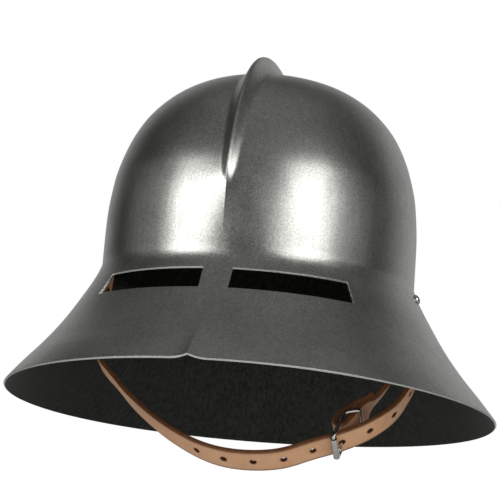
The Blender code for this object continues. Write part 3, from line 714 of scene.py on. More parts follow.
groundEdgeAndHighlightLook = {
    # bright ground steel, raised further as a painted highlight line along the rim and sights
    "colour": (0.72, 0.72, 0.70),
    "roughness": 0.28,
    "grainScale": 1500.0,
    "scratchScale": 300.0,
}


def makeHatSteel():
    # satin steel: fine abrasive grain, wiped smudges, a little unevenness left by the hammer
    look = steelLook
    material, tree, shader = newMaterial("satinSteel", 1.0, look["roughness"], look["colour"])
    vector = objectVector(tree)
    grain = placeGroup(tree, fineGrain, **{
        "Vector": vector, "Scale": look["grainScale"], "Scratch Scale": look["scratchScale"],
    })["Height"]
    cloud = placeGroup(tree, softMottle, Vector=vector, Scale=look["cloudScale"],
                       Contrast=look["cloudContrast"])["Value"]
    wiped = placeGroup(tree, wipeMarks, Vector=vector, Scale=look["wipedScale"])["Mask"]
    tone = mathNode(tree, "MULTIPLY_ADD", cloud, look["cloudShare"],
                    mathNode(tree, "MULTIPLY", grain, look["grainShare"]))
    colour = rampNode(tree, tone, [(0.39, look["dark"]), (0.61, look["light"])])
    wipedShare = mathNode(tree, "MULTIPLY", wiped, look["wipedShare"])
    wire(tree, mixColour(tree, wipedShare, colour, look["wipedColour"]), shader["Base Color"])
    plainRough = look["roughness"] - look["cloudRough"] / 2.0
    rough = mathNode(tree, "MULTIPLY_ADD", cloud, look["cloudRough"], plainRough)
    rough = mathNode(tree, "MULTIPLY_ADD", grain, look["grainRough"],
                     mathNode(tree, "SUBTRACT", rough, look["grainRough"] / 2.0))
    wire(tree, mathNode(tree, "MULTIPLY_ADD", wiped, look["wipedRough"], rough), shader["Roughness"])
    hammered = placeGroup(tree, softMottle, Vector=vector, Scale=look["hammerScale"], Contrast=1.0)["Value"]
    broad = addBump(tree, hammered, shader["Normal"], look["hammerBump"], 0.0004)
    addBump(tree, grain, shader["Normal"], look["grainBump"], 0.0001, broad)
    return material


def makeHatInside():
    # oiled dark scale inside, with short coarse streaks that run outward to the rim
    look = insideLook
    material, tree, shader = newMaterial("darkInside", 0.7, 0.55, look["colour"])
    vector = objectVector(tree)
    around = vectorNode(tree, "NORMALIZE", vectorNode(tree, "MULTIPLY", vector, (1.0, 1.0, 0.0)))
    lifted = vectorNode(tree, "MULTIPLY_ADD", vector, (0.0, 0.0, look["streakRise"]), around)
    streak = noiseNode(tree, lifted, look["streakScale"], 4.0, 0.6)
    cloud = placeGroup(tree, softMottle, Vector=vector, Scale=look["cloudScale"], Contrast=1.2)["Value"]
    speck = noiseNode(tree, vector, look["speckScale"], 4.0, 0.65)
    tone = mathNode(tree, "MULTIPLY_ADD", streak, look["streakShare"],
                    mathNode(tree, "MULTIPLY", cloud, look["cloudShare"]))
    tone = mathNode(tree, "MULTIPLY_ADD", speck, look["speckShare"], tone)
    wire(tree, rampNode(tree, tone, [(0.38, look["dark"]), (0.68, look["light"])]), shader["Base Color"])
    wire(tree, mathNode(tree, "MULTIPLY_ADD", tone, 0.2, 0.42), shader["Roughness"])
    addBump(tree, tone, shader["Normal"], look["bump"], 0.0025)
    return material


def makeEdgeSteelAndHighlight():
    # the cut borders of the sheet, ground brighter than its faces, and their colour raised further as a
    # painted highlight along the rim and the sights' edges
    look = groundEdgeAndHighlightLook
    material, tree, shader = newMaterial("groundEdgeWithPaintedHighlight", 1.0, look["roughness"], look["colour"])
    grain = placeGroup(tree, fineGrain, **{
        "Vector": objectVector(tree), "Scale": look["grainScale"], "Scratch Scale": look["scratchScale"],
    })
    rough = mathNode(tree, "MULTIPLY_ADD", grain["Mask"], 0.12, look["roughness"] - 0.02)
    wire(tree, rough, shader["Roughness"])
    addBump(tree, grain["Height"], shader["Normal"], 0.15, 0.00005)
    return material


def makeHat():
    verts, faces, kinds = buildHatMesh()
    mesh = meshOf("hatShell", verts, faces, [makeHatSteel(), makeHatInside(), makeEdgeSteelAndHighlight()])
    mesh.polygons.foreach_set("material_index", kinds)
    turnFacesOut(mesh)
    hat = finishPiece(placeMesh("hatShell", mesh), ["helmet_shell"], angle=35.0)
    edge = hat.modifiers.new("softEdge", "BEVEL")
    edge.width = hatShape["edgeRound"]
    edge.segments = 2
    edge.limit_method = "ANGLE"
    edge.angle_limit = math.radians(50.0)
    edge.harden_normals = True


makeHat()
print("hat raised")


# Straps: shape

strapShape = {
    "width": 0.020,
    "thickness": 0.003,
    "cornerRound": 0.0007,
    "planeTilt": math.radians(31.0),
    "rivetForward": 0.006,      # of the rivets, from the middle of the waist
    "rivetDrop": 0.010,         # of the rivets, below the waist
    "planeBack": 0.002,         # the plane that the straps hang in starts this far behind the rivets
    "planeUp": 0.001,           # and this far above them
    "drop": 0.1511,             # lowest place of the chin strap, down the plane
    "lowPointSide": 0.0224,     # how far that place lies toward +X
    "tailSide": 0.1252,         # the whole way out toward +X, for the loose end
    "twist": math.radians(12.0),
    "tabReach": 0.009,          # flat end beyond the rivet
    "turnStart": 0.0144,        # from here on the strap turns from the sheet to the plane
    "turnEnd": 0.045,           # and is done here, both measured along it
    "holeRadius": 0.0022,
    "holePitch": 0.0206,
    "holesBefore": 5,           # from the prong's hole toward the rivet
    "holesAfter": 3,
    "foldLength": 0.031,        # how far the inner leg of the fold comes back
    "foldCloseShare": 0.75,     # share of that length in which it closes on the outer leg
    "foldLoopWidth": 0.0093,
    "foldWayOut": 0.52,         # the fold leaves the bar toward this share of the way across to its rivet
    "foldWayUp": 0.30,          # and this share of the way up the plane
    "chapeTwist": math.radians(24.0),
    "fitGap": 0.0003,           # round bars, prong and rivets, beside the roller and in the fold
    "seatGap": 0.0009,          # between strap and sheet
    "edgeGap": 0.0005,          # beside the strap and the prong's hub, and under the upper bar
    "rivetHoleRadius": 0.0021,
    "punchReach": 0.011,        # of the rivet holes' punch, to either side
    "punchSides": 28,
    "step": 0.0013,             # between two cross sections
    "routeStep": 0.0085,        # between two places of the route
    "faceSteps": 15,            # places across one face of the section
    "cornerSteps": 4,
    "foldSteps": 8,
    "edgeFade": 14,             # the higher, the narrower is the burnished edge
}

# share of the way out, share of the drop
rightRoute = [(1.036, 0.13), (0.989, 0.30), (0.920, 0.459), (0.798, 0.587), (0.701, 0.684), (0.571, 0.789),
              (0.448, 0.871), (0.301, 0.946), (0.158, 0.989), (0.000, 1.000)]
lowRoute = [(0.198, 0.979), (0.382, 0.921)]
prongPlace = (0.570, 0.864)
tailRoute = [(0.737, 0.793), (0.881, 0.693), (0.957, 0.578), (0.990, 0.500), (1.010, 0.420), (0.970, 0.320)]
# share of the length, share of the twist
strapTwistStations = [(0.00, 0.00), (0.08, 0.00), (0.19, 0.40), (0.27, 0.70), (0.36, 0.55), (0.46, 0.35),
                      (0.55, 0.00), (0.72, 0.00), (0.80, 0.25), (0.88, 0.85), (0.95, 1.00), (1.00, 1.00)]
chapeTwistStations = [(0.00, 0.00), (0.16, 0.00), (0.34, 0.45), (0.62, 1.00), (0.78, 1.00), (0.86, 0.00),
                      (1.00, 0.00)]
# share of the way in, share of the way down
chapeRoute = [(0.01, 0.12), (0.04, 0.32), (0.11, 0.50), (0.21, 0.64), (0.50, 0.785), (0.75, 0.885)]

tilt = strapShape["planeTilt"]
planeDown = np.array((0.0, -math.sin(tilt), -math.cos(tilt)))
planeWide = np.array((0.0, -math.cos(tilt), math.sin(tilt)))
planeStart = np.array((0.0, strapShape["planeBack"] - strapShape["rivetForward"],
                       strapShape["planeUp"] - strapShape["rivetDrop"]))


def unit(vector):
    return vector / np.linalg.norm(vector)


def fromPlane(across, down):
    return planeStart + np.array((across, 0.0, 0.0)) + planeDown * down


def flatPlace(place):
    return np.array((place[0], float((place - planeStart) @ planeDown)))


def easeBetween(value, start, end):
    share = np.clip((value - start) / (end - start), 0.0, 1.0)
    return share * share * (3.0 - 2.0 * share)


def tangentsOf(places):
    slopes = np.gradient(places, axis=0)
    return slopes / np.linalg.norm(slopes, axis=1, keepdims=True)


def runOf(places):
    return np.concatenate(((0.0,), np.cumsum(np.linalg.norm(np.diff(places, axis=0), axis=1))))


def smoothRoute(points, step):
    # evenly spaced places on a smooth curve; the first point only aims its start
    fineSteps = 24              # between two of the points
    points = np.array(points)
    padded = np.vstack((points, 2.0 * points[-1] - points[-2]))
    fine = []
    for i in range(1, len(padded) - 2):
        before, here, after, beyond = padded[i - 1:i + 3]
        for t in np.linspace(0.0, 1.0, fineSteps, endpoint=False):
            fine.append(0.5 * (2.0 * here + (after - before) * t
                               + (2.0 * before - 5.0 * here + 4.0 * after - beyond) * t ** 2
                               + (3.0 * here - before - 3.0 * after + beyond) * t ** 3))
    return evenly(np.array(fine + [points[-1]]), step)


def evenly(places, step):
    run = runOf(places)
    at = np.linspace(0.0, run[-1], max(2, int(round(run[-1] / step))) + 1)
    return np.stack([np.interp(at, run, places[:, k]) for k in range(places.shape[1])], axis=1)


def rivetSpot(side):
    # outer place of the sheet under a rivet, and the way out of it
    y = -strapShape["rivetForward"]
    z = -strapShape["rivetDrop"]
    low, high = 0.0, hatShape["rimHalfWidth"]
    for _ in range(hatShape["halvings"]):
        middle = 0.5 * (low + high)
        if outwardness(np.array((middle, y, z))) < 0.0:
            low = middle
        else:
            high = middle
    place = np.array((low, y, z))
    normal = outwardNormals(place[None, :])[0]
    flip = np.array((side, 1.0, 1.0))
    return place * flip, normal * flip


def strapSeat(side):
    place, normal = rivetSpot(side)
    depth = hatShape["wall"] + strapShape["seatGap"] + strapShape["thickness"] / 2.0
    return place - normal * depth, normal


def tabWay(normal):
    return unit(planeDown - normal * float(planeDown @ normal))


def strapTab(side):
    seat, normal = strapSeat(side)
    along = tabWay(normal)
    reach = strapShape["tabReach"]
    return [seat - along * reach * share for share in (1.0, 0.5, 0.0)], seat + along * reach * 0.5


def leftPlace(out, down):
    tail = strapShape["tailSide"] - strapShape["lowPointSide"]
    return fromPlane(strapShape["lowPointSide"] + tail * out, strapShape["drop"] * down)


def chinRoute():
    tab, free = strapTab(-1.0)
    low = strapShape["lowPointSide"]
    span = abs(tab[-1][0]) + low
    points = [tab[-1], free]
    points += [fromPlane(low - span * out, strapShape["drop"] * down) for out, down in rightRoute]
    points += [leftPlace(*row) for row in lowRoute + [prongPlace] + tailRoute]
    return np.vstack((tab, smoothRoute(points, strapShape["routeStep"])))


def turnedWides(places, side, twist, stations):
    # width directions: flat on the seat at the rivet, then square to the strap plane plus a twist
    normal = strapSeat(side)[1]
    start = np.cross(normal, tabWay(normal))
    start = start if start @ planeWide > 0.0 else -start
    read = stationCurve(stations)
    run = runOf(places)
    wides = []
    for at, way in zip(run, tangentsOf(places)):
        share = easeBetween(at, strapShape["turnStart"], strapShape["turnEnd"])
        wide = start * (1.0 - share) + planeWide * share
        wide = unit(wide - way * float(wide @ way))
        turn = twist * float(read(at / run[-1]))
        wides.append(wide * math.cos(turn) + np.cross(wide, way) * side * math.sin(turn))
    return np.array(wides)


def prongRun(places):
    run = runOf(places)
    target = leftPlace(*prongPlace)
    nearest = int(np.argmin(np.linalg.norm(places - target, axis=1)))
    return run[nearest] + float((target - places[nearest]) @ tangentsOf(places)[nearest])


def strapFrame(places, at):
    run = runOf(places)
    along = tangentsOf(places)
    place = np.array([np.interp(at, run, places[:, k]) for k in range(3)])
    way = unit(np.array([np.interp(at, run, along[:, k]) for k in range(3)]))
    outward = unit(np.cross(planeWide, way))
    return place, way, outward if outward @ planeDown > 0.0 else -outward


def ribbonProfile(width, thickness):
    # (across, up, edge share, inner share) once round a strap's cross section
    halfWidth = width / 2.0
    halfThick = thickness / 2.0
    corner = strapShape["cornerRound"]
    count = strapShape["cornerSteps"]
    turns = [math.pi / 2.0 * k / count for k in range(1, count)]
    points = []
    for side in (1.0, -1.0):
        inner = 0.0 if side > 0.0 else 1.0
        for share in np.linspace(-1.0, 1.0, strapShape["faceSteps"]):
            across = side * share * (halfWidth - corner)
            points.append((across, side * halfThick, abs(share) ** strapShape["edgeFade"], inner))
        for turn in turns:
            points.append((side * (halfWidth - corner + corner * math.sin(turn)),
                           side * (halfThick - corner + corner * math.cos(turn)), 1.0, inner))
        for share in (0.5, -0.5):
            points.append((side * halfWidth, side * share * (halfThick - corner) * 2.0, 1.0, 0.5))
        for turn in turns:
            points.append((side * (halfWidth - corner + corner * math.cos(turn)),
                           -side * (halfThick - corner + corner * math.sin(turn)), 1.0, 1.0 - inner))
    return np.array(points)


def refined(places, wides):
    # the same ribbon with closer cross sections, on cubics through the places and their tangents
    run = runOf(places)
    at = np.linspace(0.0, run[-1], int(run[-1] / strapShape["step"]) + 1)
    slopes = tangentsOf(places)
    span = np.clip(np.searchsorted(run, at, side="right") - 1, 0, len(run) - 2)
    step = (run[span + 1] - run[span])[:, None]
    part = ((at - run[span]) / (run[span + 1] - run[span]))[:, None]
    rest = 1.0 - part
    fine = (places[span] * (1.0 + 2.0 * part) * rest ** 2 + slopes[span] * step * part * rest ** 2
            + places[span + 1] * part ** 2 * (3.0 - 2.0 * part) - slopes[span + 1] * step * part ** 2 * rest)
    fineWides = wides[span] * rest + wides[span + 1] * part
    return fine, fineWides


def ribbonMesh(name, places, wides, material, outwardSide):
    # a layout named route holds the run and the place across, one named sides the edge and inner shares
    profile = ribbonProfile(strapShape["width"], strapShape["thickness"])
    along = tangentsOf(places)
    run = runOf(places)
    verts, marks = [], []
    for place, way, wide, at in zip(places, along, wides, run):
        wide = unit(wide - way * float(wide @ way))
        normal = np.cross(way, wide) * outwardSide
        for across, up, edge, inner in profile:
            verts.append(place + wide * across + normal * up)
            marks.append((at, across, edge, inner))
    count = len(profile)
    faces = []
    for s in range(len(places) - 1):
        for i in range(count):
            k = (i + 1) % count
            faces.append((s * count + i, s * count + k, (s + 1) * count + k, (s + 1) * count + i))
    for s, sign in ((0, 1), (len(places) - 1, -1)):
        faces.append([s * count + i for i in range(count)][::sign])
    mesh = meshOf(name, verts, faces, [material, holeLeather])
    route = mesh.uv_layers.new(name="route")
    sides = mesh.uv_layers.new(name="sides")
    marks = np.array(marks)
    corners = np.empty(len(mesh.loops), dtype=int)
    mesh.loops.foreach_get("vertex_index", corners)
    route.data.foreach_set("uv", marks[corners][:, :2].ravel())
    sides.data.foreach_set("uv", marks[corners][:, 2:].ravel())
    turnFacesOut(mesh)
    return mesh


def makeRibbon(name, places, wides, material, replaced, outwardSide, cutters):
    places, wides = refined(places, wides)
    piece = placeMesh(name, ribbonMesh(name, places, wides, material, outwardSide))
    cutHoles(piece, cutters)
    return finishPiece(piece, [replaced], angle=50.0)


def cutHoles(piece, cutters):
    for cutter in cutters:
        cut = piece.modifiers.new(cutter.name, "BOOLEAN")
        cut.operation = "DIFFERENCE"
        cut.solver = "EXACT"
        cut.object = cutter
    settled = bpy.data.meshes.new_from_object(piece.evaluated_get(bpy.context.evaluated_depsgraph_get()))
    piece.modifiers.clear()
    piece.data = settled
    for cutter in cutters:
        bpy.data.objects.remove(cutter, do_unlink=True)


def turnedRings(profile, place, axis, sides, closed=False):
    # spin (radius, height) points round an axis that starts at a place
    axis = unit(np.array(axis, dtype=float))
    first = unit(np.cross(axis, (0.0, 0.0, 1.0) if abs(axis[2]) < 0.9 else (1.0, 0.0, 0.0)))
    second = np.cross(axis, first)
    verts, rings, faces = [], [], []
    for radius, height in profile:
        middle = np.array(place) + axis * height
        if radius == 0.0:
            verts.append(middle)
            rings.append([len(verts) - 1] * sides)
            continue
        ring = []
        for i in range(sides):
            turn = 2.0 * math.pi * i / sides
            verts.append(middle + (first * math.cos(turn) + second * math.sin(turn)) * radius)
            ring.append(len(verts) - 1)
        rings.append(ring)
    pairs = list(zip(rings[:-1], rings[1:]))
    if closed:
        pairs.append((rings[-1], rings[0]))
    for lower, upper in pairs:
        for i in range(sides):
            k = (i + 1) % sides
            corners = []
            for corner in (lower[i], lower[k], upper[k], upper[i]):
                if corner not in corners:
                    corners.append(corner)
            faces.append(corners)
    return verts, faces


roundShare = 0.3                # how far the middle of a worn edge lies in, in parts of its width


def turnedMesh(name, profile, place, axis, sides, closed=False):
    verts, faces = turnedRings(profile, place, axis, sides, closed)
    mesh = meshOf(name, verts, faces)
    turnFacesOut(mesh)
    return mesh


def punch(name, place, axis, radius, reach):
    profile = [(0.0, -reach), (radius, -reach), (radius, reach), (0.0, reach)]
    return makeCutter(name, turnedMesh(name, profile, place, axis, strapShape["punchSides"]))


def punchRivetHole(name, side):
    spot, normal = rivetSpot(side)
    return punch(name, spot, normal, strapShape["rivetHoleRadius"], strapShape["punchReach"])


def makeCutter(name, mesh):
    # its faces leave the second material, raw leather, on what it cuts
    mesh.materials.append(holeLeather)
    mesh.materials.append(holeLeather)
    mesh.polygons.foreach_set("material_index", [1] * len(mesh.polygons))
    return placeMesh(name, mesh)


# Straps: finish

leatherLook = {
    "face": (0.80, 0.465, 0.270),
    "faceDark": (0.70, 0.378, 0.203),
    "edge": (0.115, 0.032, 0.008),
    "inner": (0.27, 0.115, 0.048),
    # the colour of the painted shade ring round each hole, also used for the hole walls
    "hole": (0.130, 0.052, 0.020),
    "holeShadeReach": 0.0013,        # width of the painted shade ring round a hole
    "holeShadeShare": 0.85,
    "roughness": 0.5,
    "gloss": 0.35,
    "cloudScale": 90.0,
    "poreScale": 2200.0,
    "poreShare": 0.28,
    "poreRough": 0.16,
    "creaseScale": 900.0,
    "creaseShare": 0.13,
    "bump": 0.35,
}


def makeLeather(name, holeMiddle=None):
    # natural tanned leather: pores, faint creases across, burnished dark edges, rough inner side, and painted
    # shade round any punched holes
    look = leatherLook
    material, tree, shader = newMaterial(name, 0.0, look["roughness"], look["face"])
    vector = objectVector(tree)
    sides = tree.nodes.new("ShaderNodeUVMap")
    sides.uv_map = "sides"
    split = tree.nodes.new("ShaderNodeSeparateXYZ")
    wire(tree, sides.outputs["UV"], split.inputs[0])
    route = tree.nodes.new("ShaderNodeUVMap")
    route.uv_map = "route"
    edge = split.outputs["X"]
    inner = mathNode(tree, "GREATER_THAN", split.outputs["Y"], 0.75)
    cloud = placeGroup(tree, softMottle, Vector=vector, Scale=look["cloudScale"], Contrast=1.4)["Value"]
    face = rampNode(tree, cloud, [(0.2, look["faceDark"]), (0.75, look["face"])])
    pores = noiseNode(tree, vector, look["poreScale"], 3.0, 0.6)
    flattened = stretchNode(tree, route.outputs["UV"], (1.0, 0.12, 1.0))
    crease = noiseNode(tree, flattened, look["creaseScale"], 3.0, 0.6)
    creased = rampNode(tree, crease, [(0.5, 0.0), (0.72, 1.0)])
    face = mixColour(tree, mathNode(tree, "MULTIPLY", pores, look["poreShare"]), face, look["faceDark"])
    face = mixColour(tree, mathNode(tree, "MULTIPLY", creased, look["creaseShare"]), face, look["inner"])
    # painted shade: a dark ring round each punched hole, darkest at its border
    if holeMiddle is not None:
        ring = placeGroup(tree, holeShadeRing, **{
            "Route": route.outputs["UV"], "Middle": holeMiddle, "Pitch": strapShape["holePitch"],
            "Radius": strapShape["holeRadius"], "Reach": look["holeShadeReach"],
            "First": -strapShape["holesBefore"], "Last": strapShape["holesAfter"],
        })["Mask"]
        face = mixColour(tree, mathNode(tree, "MULTIPLY", ring, look["holeShadeShare"]), face, look["hole"])
    rough = noiseNode(tree, vector, 1100.0, 5.0, 0.75)
    face = mixColour(tree, inner, face, mixColour(tree, rough, look["inner"], look["faceDark"]))
    stained = mixColour(tree, noiseNode(tree, vector, 500.0, 3.0, 0.6), look["edge"], look["inner"])
    wire(tree, mixColour(tree, edge, face, stained), shader["Base Color"])
    finish = mathNode(tree, "MULTIPLY_ADD", inner, 0.3, look["roughness"])
    finish = mathNode(tree, "MULTIPLY_ADD", pores, look["poreRough"],
                      mathNode(tree, "SUBTRACT", finish, look["poreRough"] / 2.0))
    wire(tree, mathNode(tree, "MULTIPLY_ADD", edge, -0.12, finish), shader["Roughness"])
    shader["Specular IOR Level"].default_value = look["gloss"]
    height = mathNode(tree, "MULTIPLY_ADD", pores, 0.5, mathNode(tree, "MULTIPLY", creased, -0.5))
    height = mathNode(tree, "MULTIPLY_ADD", rough, mathNode(tree, "MULTIPLY", inner, 2.0), height)
    addBump(tree, height, shader["Normal"], look["bump"], 0.00015)
    return material


def makeHoleLeather():
    # raw walls of punched holes, in the dark brown of the painted shade ring round them
    material, tree, shader = newMaterial("punchedLeather", 0.0, 0.85, leatherLook["hole"])
    fibres = noiseNode(tree, objectVector(tree), 3200.0, 3.0, 0.7)
    wire(tree, mixColour(tree, fibres, leatherLook["hole"], leatherLook["edge"]), shader["Base Color"])
    addBump(tree, fibres, shader["Normal"], 0.5, 0.0001)
    return material


holeLeather = makeHoleLeather()


# Straps: the punched one and the folded one that carries the buckle

def makeChinStrap():
    places = chinRoute()
    wides = turnedWides(places, -1.0, strapShape["twist"], strapTwistStations)
    middle = prongRun(places)
    cutters = []
    for number in range(-strapShape["holesBefore"], strapShape["holesAfter"] + 1):
        place, _, outward = strapFrame(places, middle + number * strapShape["holePitch"])
        cutters.append(punch("strapHole%d" % (number + strapShape["holesBefore"]), place, outward,
                             strapShape["holeRadius"], 2.0 * strapShape["thickness"]))
    cutters.append(punchRivetHole("strapRivetHole", -1.0))
    leather = makeLeather("punchedStrapLeather", float(middle))
    return makeRibbon("chinStrap", places, wides, leather, "chin_strap", 1.0, cutters)


buckleShape = {
    "lowerPitch": 0.0172,       # from the roller to the middle bar
    "upperPitch": 0.0117,       # from there along the fold to the upper bar
    "bendAboveBar": 0.0048,     # where the frame bends
    "lean": math.radians(12.0),
    "barRadius": 0.0014,
    "railRadius": 0.0014,
    "rollerRadius": 0.0023,
    "rollerSoft": 0.0003,       # worn edge at the roller's ends
    "rollerSides": 36,
    "prongRadius": 0.0009,
    "prongSteps": 12,
    "hubRadius": 0.0029,
    "hubWidth": 0.0036,
    "hubSoft": 0.0002,
    "hubSides": 32,
    "prongOverhang": 0.0022,    # past the roller's middle
    "tipLength": 0.0008,
    "cornerRadius": 0.0026,
    "cornerSteps": 6,
    "barSides": 18,
}

# distance from the prong's end, share of its radius
prongTip = [(0.0005, 0.92), (0.0002, 0.70), (0.00005, 0.35)]


def buckleLayout():
    # middles of the prong's hole, the roller and the middle bar
    places = chinRoute()
    hole, along, outward = strapFrame(places, prongRun(places))
    depth = strapShape["thickness"] / 2.0 + strapShape["fitGap"] + buckleShape["rollerRadius"]
    beside = buckleShape["rollerRadius"] + strapShape["fitGap"] + buckleShape["prongRadius"]
    lean = buckleShape["lean"]
    upward = np.array((math.sin(lean), 0.0, 0.0)) - planeDown * math.cos(lean)
    near, far = 0.0, 4.0 * beside
    for _ in range(hatShape["halvings"]):
        ahead = 0.5 * (near + far)
        roller = hole + outward * depth - along * ahead
        bar = roller + upward * buckleShape["lowerPitch"]
        apart = np.linalg.norm(np.cross(roller - bar, unit(hole - bar)))
        near, far = (ahead, far) if apart < beside else (near, ahead)
    return hole, roller, bar


def chapeLayout():
    # outer leg, loop round the middle bar and inner leg of the buckle strap
    tab, free = strapTab(1.0)
    seat = tab[-1]
    bar = buckleLayout()[2]
    barFlat = flatPlace(bar)
    seatFlat = flatPlace(seat)
    wayOut = strapShape["foldWayOut"] * (seatFlat[0] - barFlat[0])
    wayUp = -strapShape["foldWayUp"] * barFlat[1]
    way = unit(np.array((wayOut, wayUp)))
    outward = np.array((-way[1], way[0]))
    clear = buckleShape["barRadius"] + strapShape["fitGap"] + strapShape["thickness"] / 2.0
    touch = barFlat + outward * clear
    points = [seat, free]
    points += [fromPlane(seatFlat[0] + (touch[0] - seatFlat[0]) * inward, touch[1] * down)
               for inward, down in chapeRoute]
    outer = np.vstack((tab, smoothRoute(points + [fromPlane(*touch)], strapShape["routeStep"] * 0.5)))
    outerWides = turnedWides(outer, 1.0, strapShape["chapeTwist"], chapeTwistStations)
    loop = strapShape["foldLoopWidth"] / 2.0
    nose = []
    for i in range(1, strapShape["foldSteps"]):
        turn = math.pi * i / strapShape["foldSteps"]
        swung = outward * math.cos(turn) - way * math.sin(turn)
        nose.append(fromPlane(*(touch - outward * loop + loop * swung)))
    inner, innerWides = [], []
    run = runOf(outer)
    close = strapShape["thickness"] + strapShape["fitGap"]
    for at, place, along, wide in reversed(list(zip(run, outer, tangentsOf(outer), outerWides))):
        done = (run[-1] - at) / strapShape["foldLength"]
        if done > 1.0:
            break
        ease = easeBetween(done, 0.0, strapShape["foldCloseShare"])
        inner.append(place + unit(np.cross(along, wide)) * (2.0 * loop + (close - 2.0 * loop) * ease))
        innerWides.append(wide)
    places = np.vstack((outer, nose, inner))
    wides = np.vstack((outerWides, [planeWide] * len(nose), innerWides))
    return places, wides, outer, bar


def makeBuckleStrap():
    places, wides, _, bar = chapeLayout()
    cutters = [punchRivetHole("chapeRivetHole", 1.0)]
    before = buckleShape["hubRadius"] + strapShape["edgeGap"]
    beyond = strapShape["foldLoopWidth"]
    aside = beyond / 2.0 + strapShape["thickness"]
    sideways = np.array((1.0, 0.0, 0.0))
    middle = bar + planeDown * (beyond - before) / 2.0 + sideways * (aside - before) / 2.0
    halfSlot = buckleShape["hubWidth"] / 2.0 + strapShape["edgeGap"]
    halves = ((aside + before) / 2.0, halfSlot, (beyond + before) / 2.0)
    cutters.append(slotCutter("prongSlot", middle, (sideways, planeWide, planeDown), halves))
    leather = makeLeather("foldedStrapLeather")
    return makeRibbon("buckleStrap", places, wides, leather, "buckle_strap", -1.0, cutters)


def slotCutter(name, middle, axes, halves):
    # a box along the given axes
    builder = bmesh.new()
    bmesh.ops.create_cube(builder, size=2.0)
    for vert in builder.verts:
        spot = np.array(middle)
        for axis, half, amount in zip(axes, halves, vert.co.copy()):
            spot = spot + axis * half * amount
        vert.co = Vector(spot)
    bmesh.ops.recalc_face_normals(builder, faces=builder.faces[:])
    mesh = bpy.data.meshes.new(name)
    builder.to_mesh(mesh)
    builder.free()
    return makeCutter(name, mesh)


makeChinStrap()
makeBuckleStrap()
print("straps cut, punched and bent")


# Buckle and rivets

brightLook = {
    "colour": (0.66, 0.65, 0.62),
    "dark": (0.58, 0.57, 0.54),
    "light": (0.70, 0.69, 0.66),
    "buckleRoughness": 0.14,
    "rivetRoughness": 0.2,
    "grainScale": 3000.0,
    "scratchScale": 700.0,
    "cloudScale": 260.0,
}


def makeBrightMetal(name, roughness):
    # smooth bright metal with faint scratches
    look = brightLook
    material, tree, shader = newMaterial(name, 1.0, roughness, look["colour"])
    vector = objectVector(tree)
    grain = placeGroup(tree, fineGrain, **{
        "Vector": vector, "Scale": look["grainScale"], "Scratch Scale": look["scratchScale"],
    })
    cloud = placeGroup(tree, softMottle, Vector=vector, Scale=look["cloudScale"], Contrast=1.2)["Value"]
    wire(tree, rampNode(tree, cloud, [(0.3, look["dark"]), (0.7, look["light"])]), shader["Base Color"])
    wire(tree, mathNode(tree, "MULTIPLY_ADD", grain["Mask"], 0.10, roughness - 0.04), shader["Roughness"])
    addBump(tree, grain["Height"], shader["Normal"], 0.12, 0.00006)
    return material


def roundedLoop(points, radius):
    # a closed path with its corners rounded
    steps = buckleShape["cornerSteps"]
    path = []
    count = len(points)
    for i in range(count):
        before, here, after = points[i - 1], points[i], points[(i + 1) % count]
        back = before - here
        ahead = after - here
        cut = min(radius, 0.45 * np.linalg.norm(back), 0.45 * np.linalg.norm(ahead))
        start = here + unit(back) * cut
        end = here + unit(ahead) * cut
        for k in range(steps + 1):
            t = k / steps
            path.append(start * (1 - t) ** 2 + here * 2 * t * (1 - t) + end * t ** 2)
    return np.array(path)


def sweptBar(path, radii, closed=False):
    # a round bar along a path, its section carried along without twist
    sides = buckleShape["barSides"]
    count = len(path)
    if closed:
        along = np.array([unit(path[(i + 1) % count] - path[i - 1]) for i in range(count)])
    else:
        along = tangentsOf(path)
    first = unit(np.cross(along[0], planeWide if abs(along[0] @ planeWide) < 0.9 else (1.0, 0.0, 0.0)))
    verts, faces = [], []
    for i in range(count):
        first = unit(first - along[i] * float(first @ along[i]))
        second = np.cross(along[i], first)
        for k in range(sides):
            turn = 2.0 * math.pi * k / sides
            verts.append(path[i] + (first * math.cos(turn) + second * math.sin(turn)) * radii[i])
    rounds = count if closed else count - 1
    for i in range(rounds):
        j = (i + 1) % count
        for k in range(sides):
            m = (k + 1) % sides
            faces.append((i * sides + k, i * sides + m, j * sides + m, j * sides + k))
    if not closed:
        faces.append(list(range(sides)))
        faces.append(list(range((count - 1) * sides, count * sides)))
    return verts, faces


def joinParts(name, parts, material, replaced):
    verts, faces = [], []
    for partVerts, partFaces in parts:
        start = len(verts)
        verts += list(partVerts)
        faces += [[index + start for index in face] for face in partFaces]
    mesh = meshOf(name, verts, faces, [material])
    turnFacesOut(mesh)
    return finishPiece(placeMesh(name, mesh), [replaced])


def makeBuckleFrame(material):
    _, roller, bar = buckleLayout()
    _, _, outer, _ = chapeLayout()
    run = runOf(outer)
    place, _, outward = strapFrame(outer, run[-1] - buckleShape["upperPitch"])
    outward = outward if outward[0] > 0.0 else -outward
    end = place + outward * (strapShape["thickness"] / 2.0 + strapShape["edgeGap"] + buckleShape["barRadius"])
    bend = bar + unit(bar - roller) * buckleShape["bendAboveBar"]
    rail = strapShape["width"] / 2.0 + strapShape["edgeGap"] + buckleShape["railRadius"]
    front = [spot + planeWide * rail for spot in (roller, bend, end)]
    rear = [spot - planeWide * rail for spot in (end, bend, roller)]
    loop = roundedLoop(front + rear, buckleShape["cornerRadius"])
    rails = sweptBar(loop, np.full(len(loop), buckleShape["railRadius"]), closed=True)
    middle = np.array([bar - planeWide * rail, bar, bar + planeWide * rail])
    middleBar = sweptBar(middle, np.full(len(middle), buckleShape["barRadius"]))
    return joinParts("buckleFrame", [rails, middleBar], material, "buckle_frame")


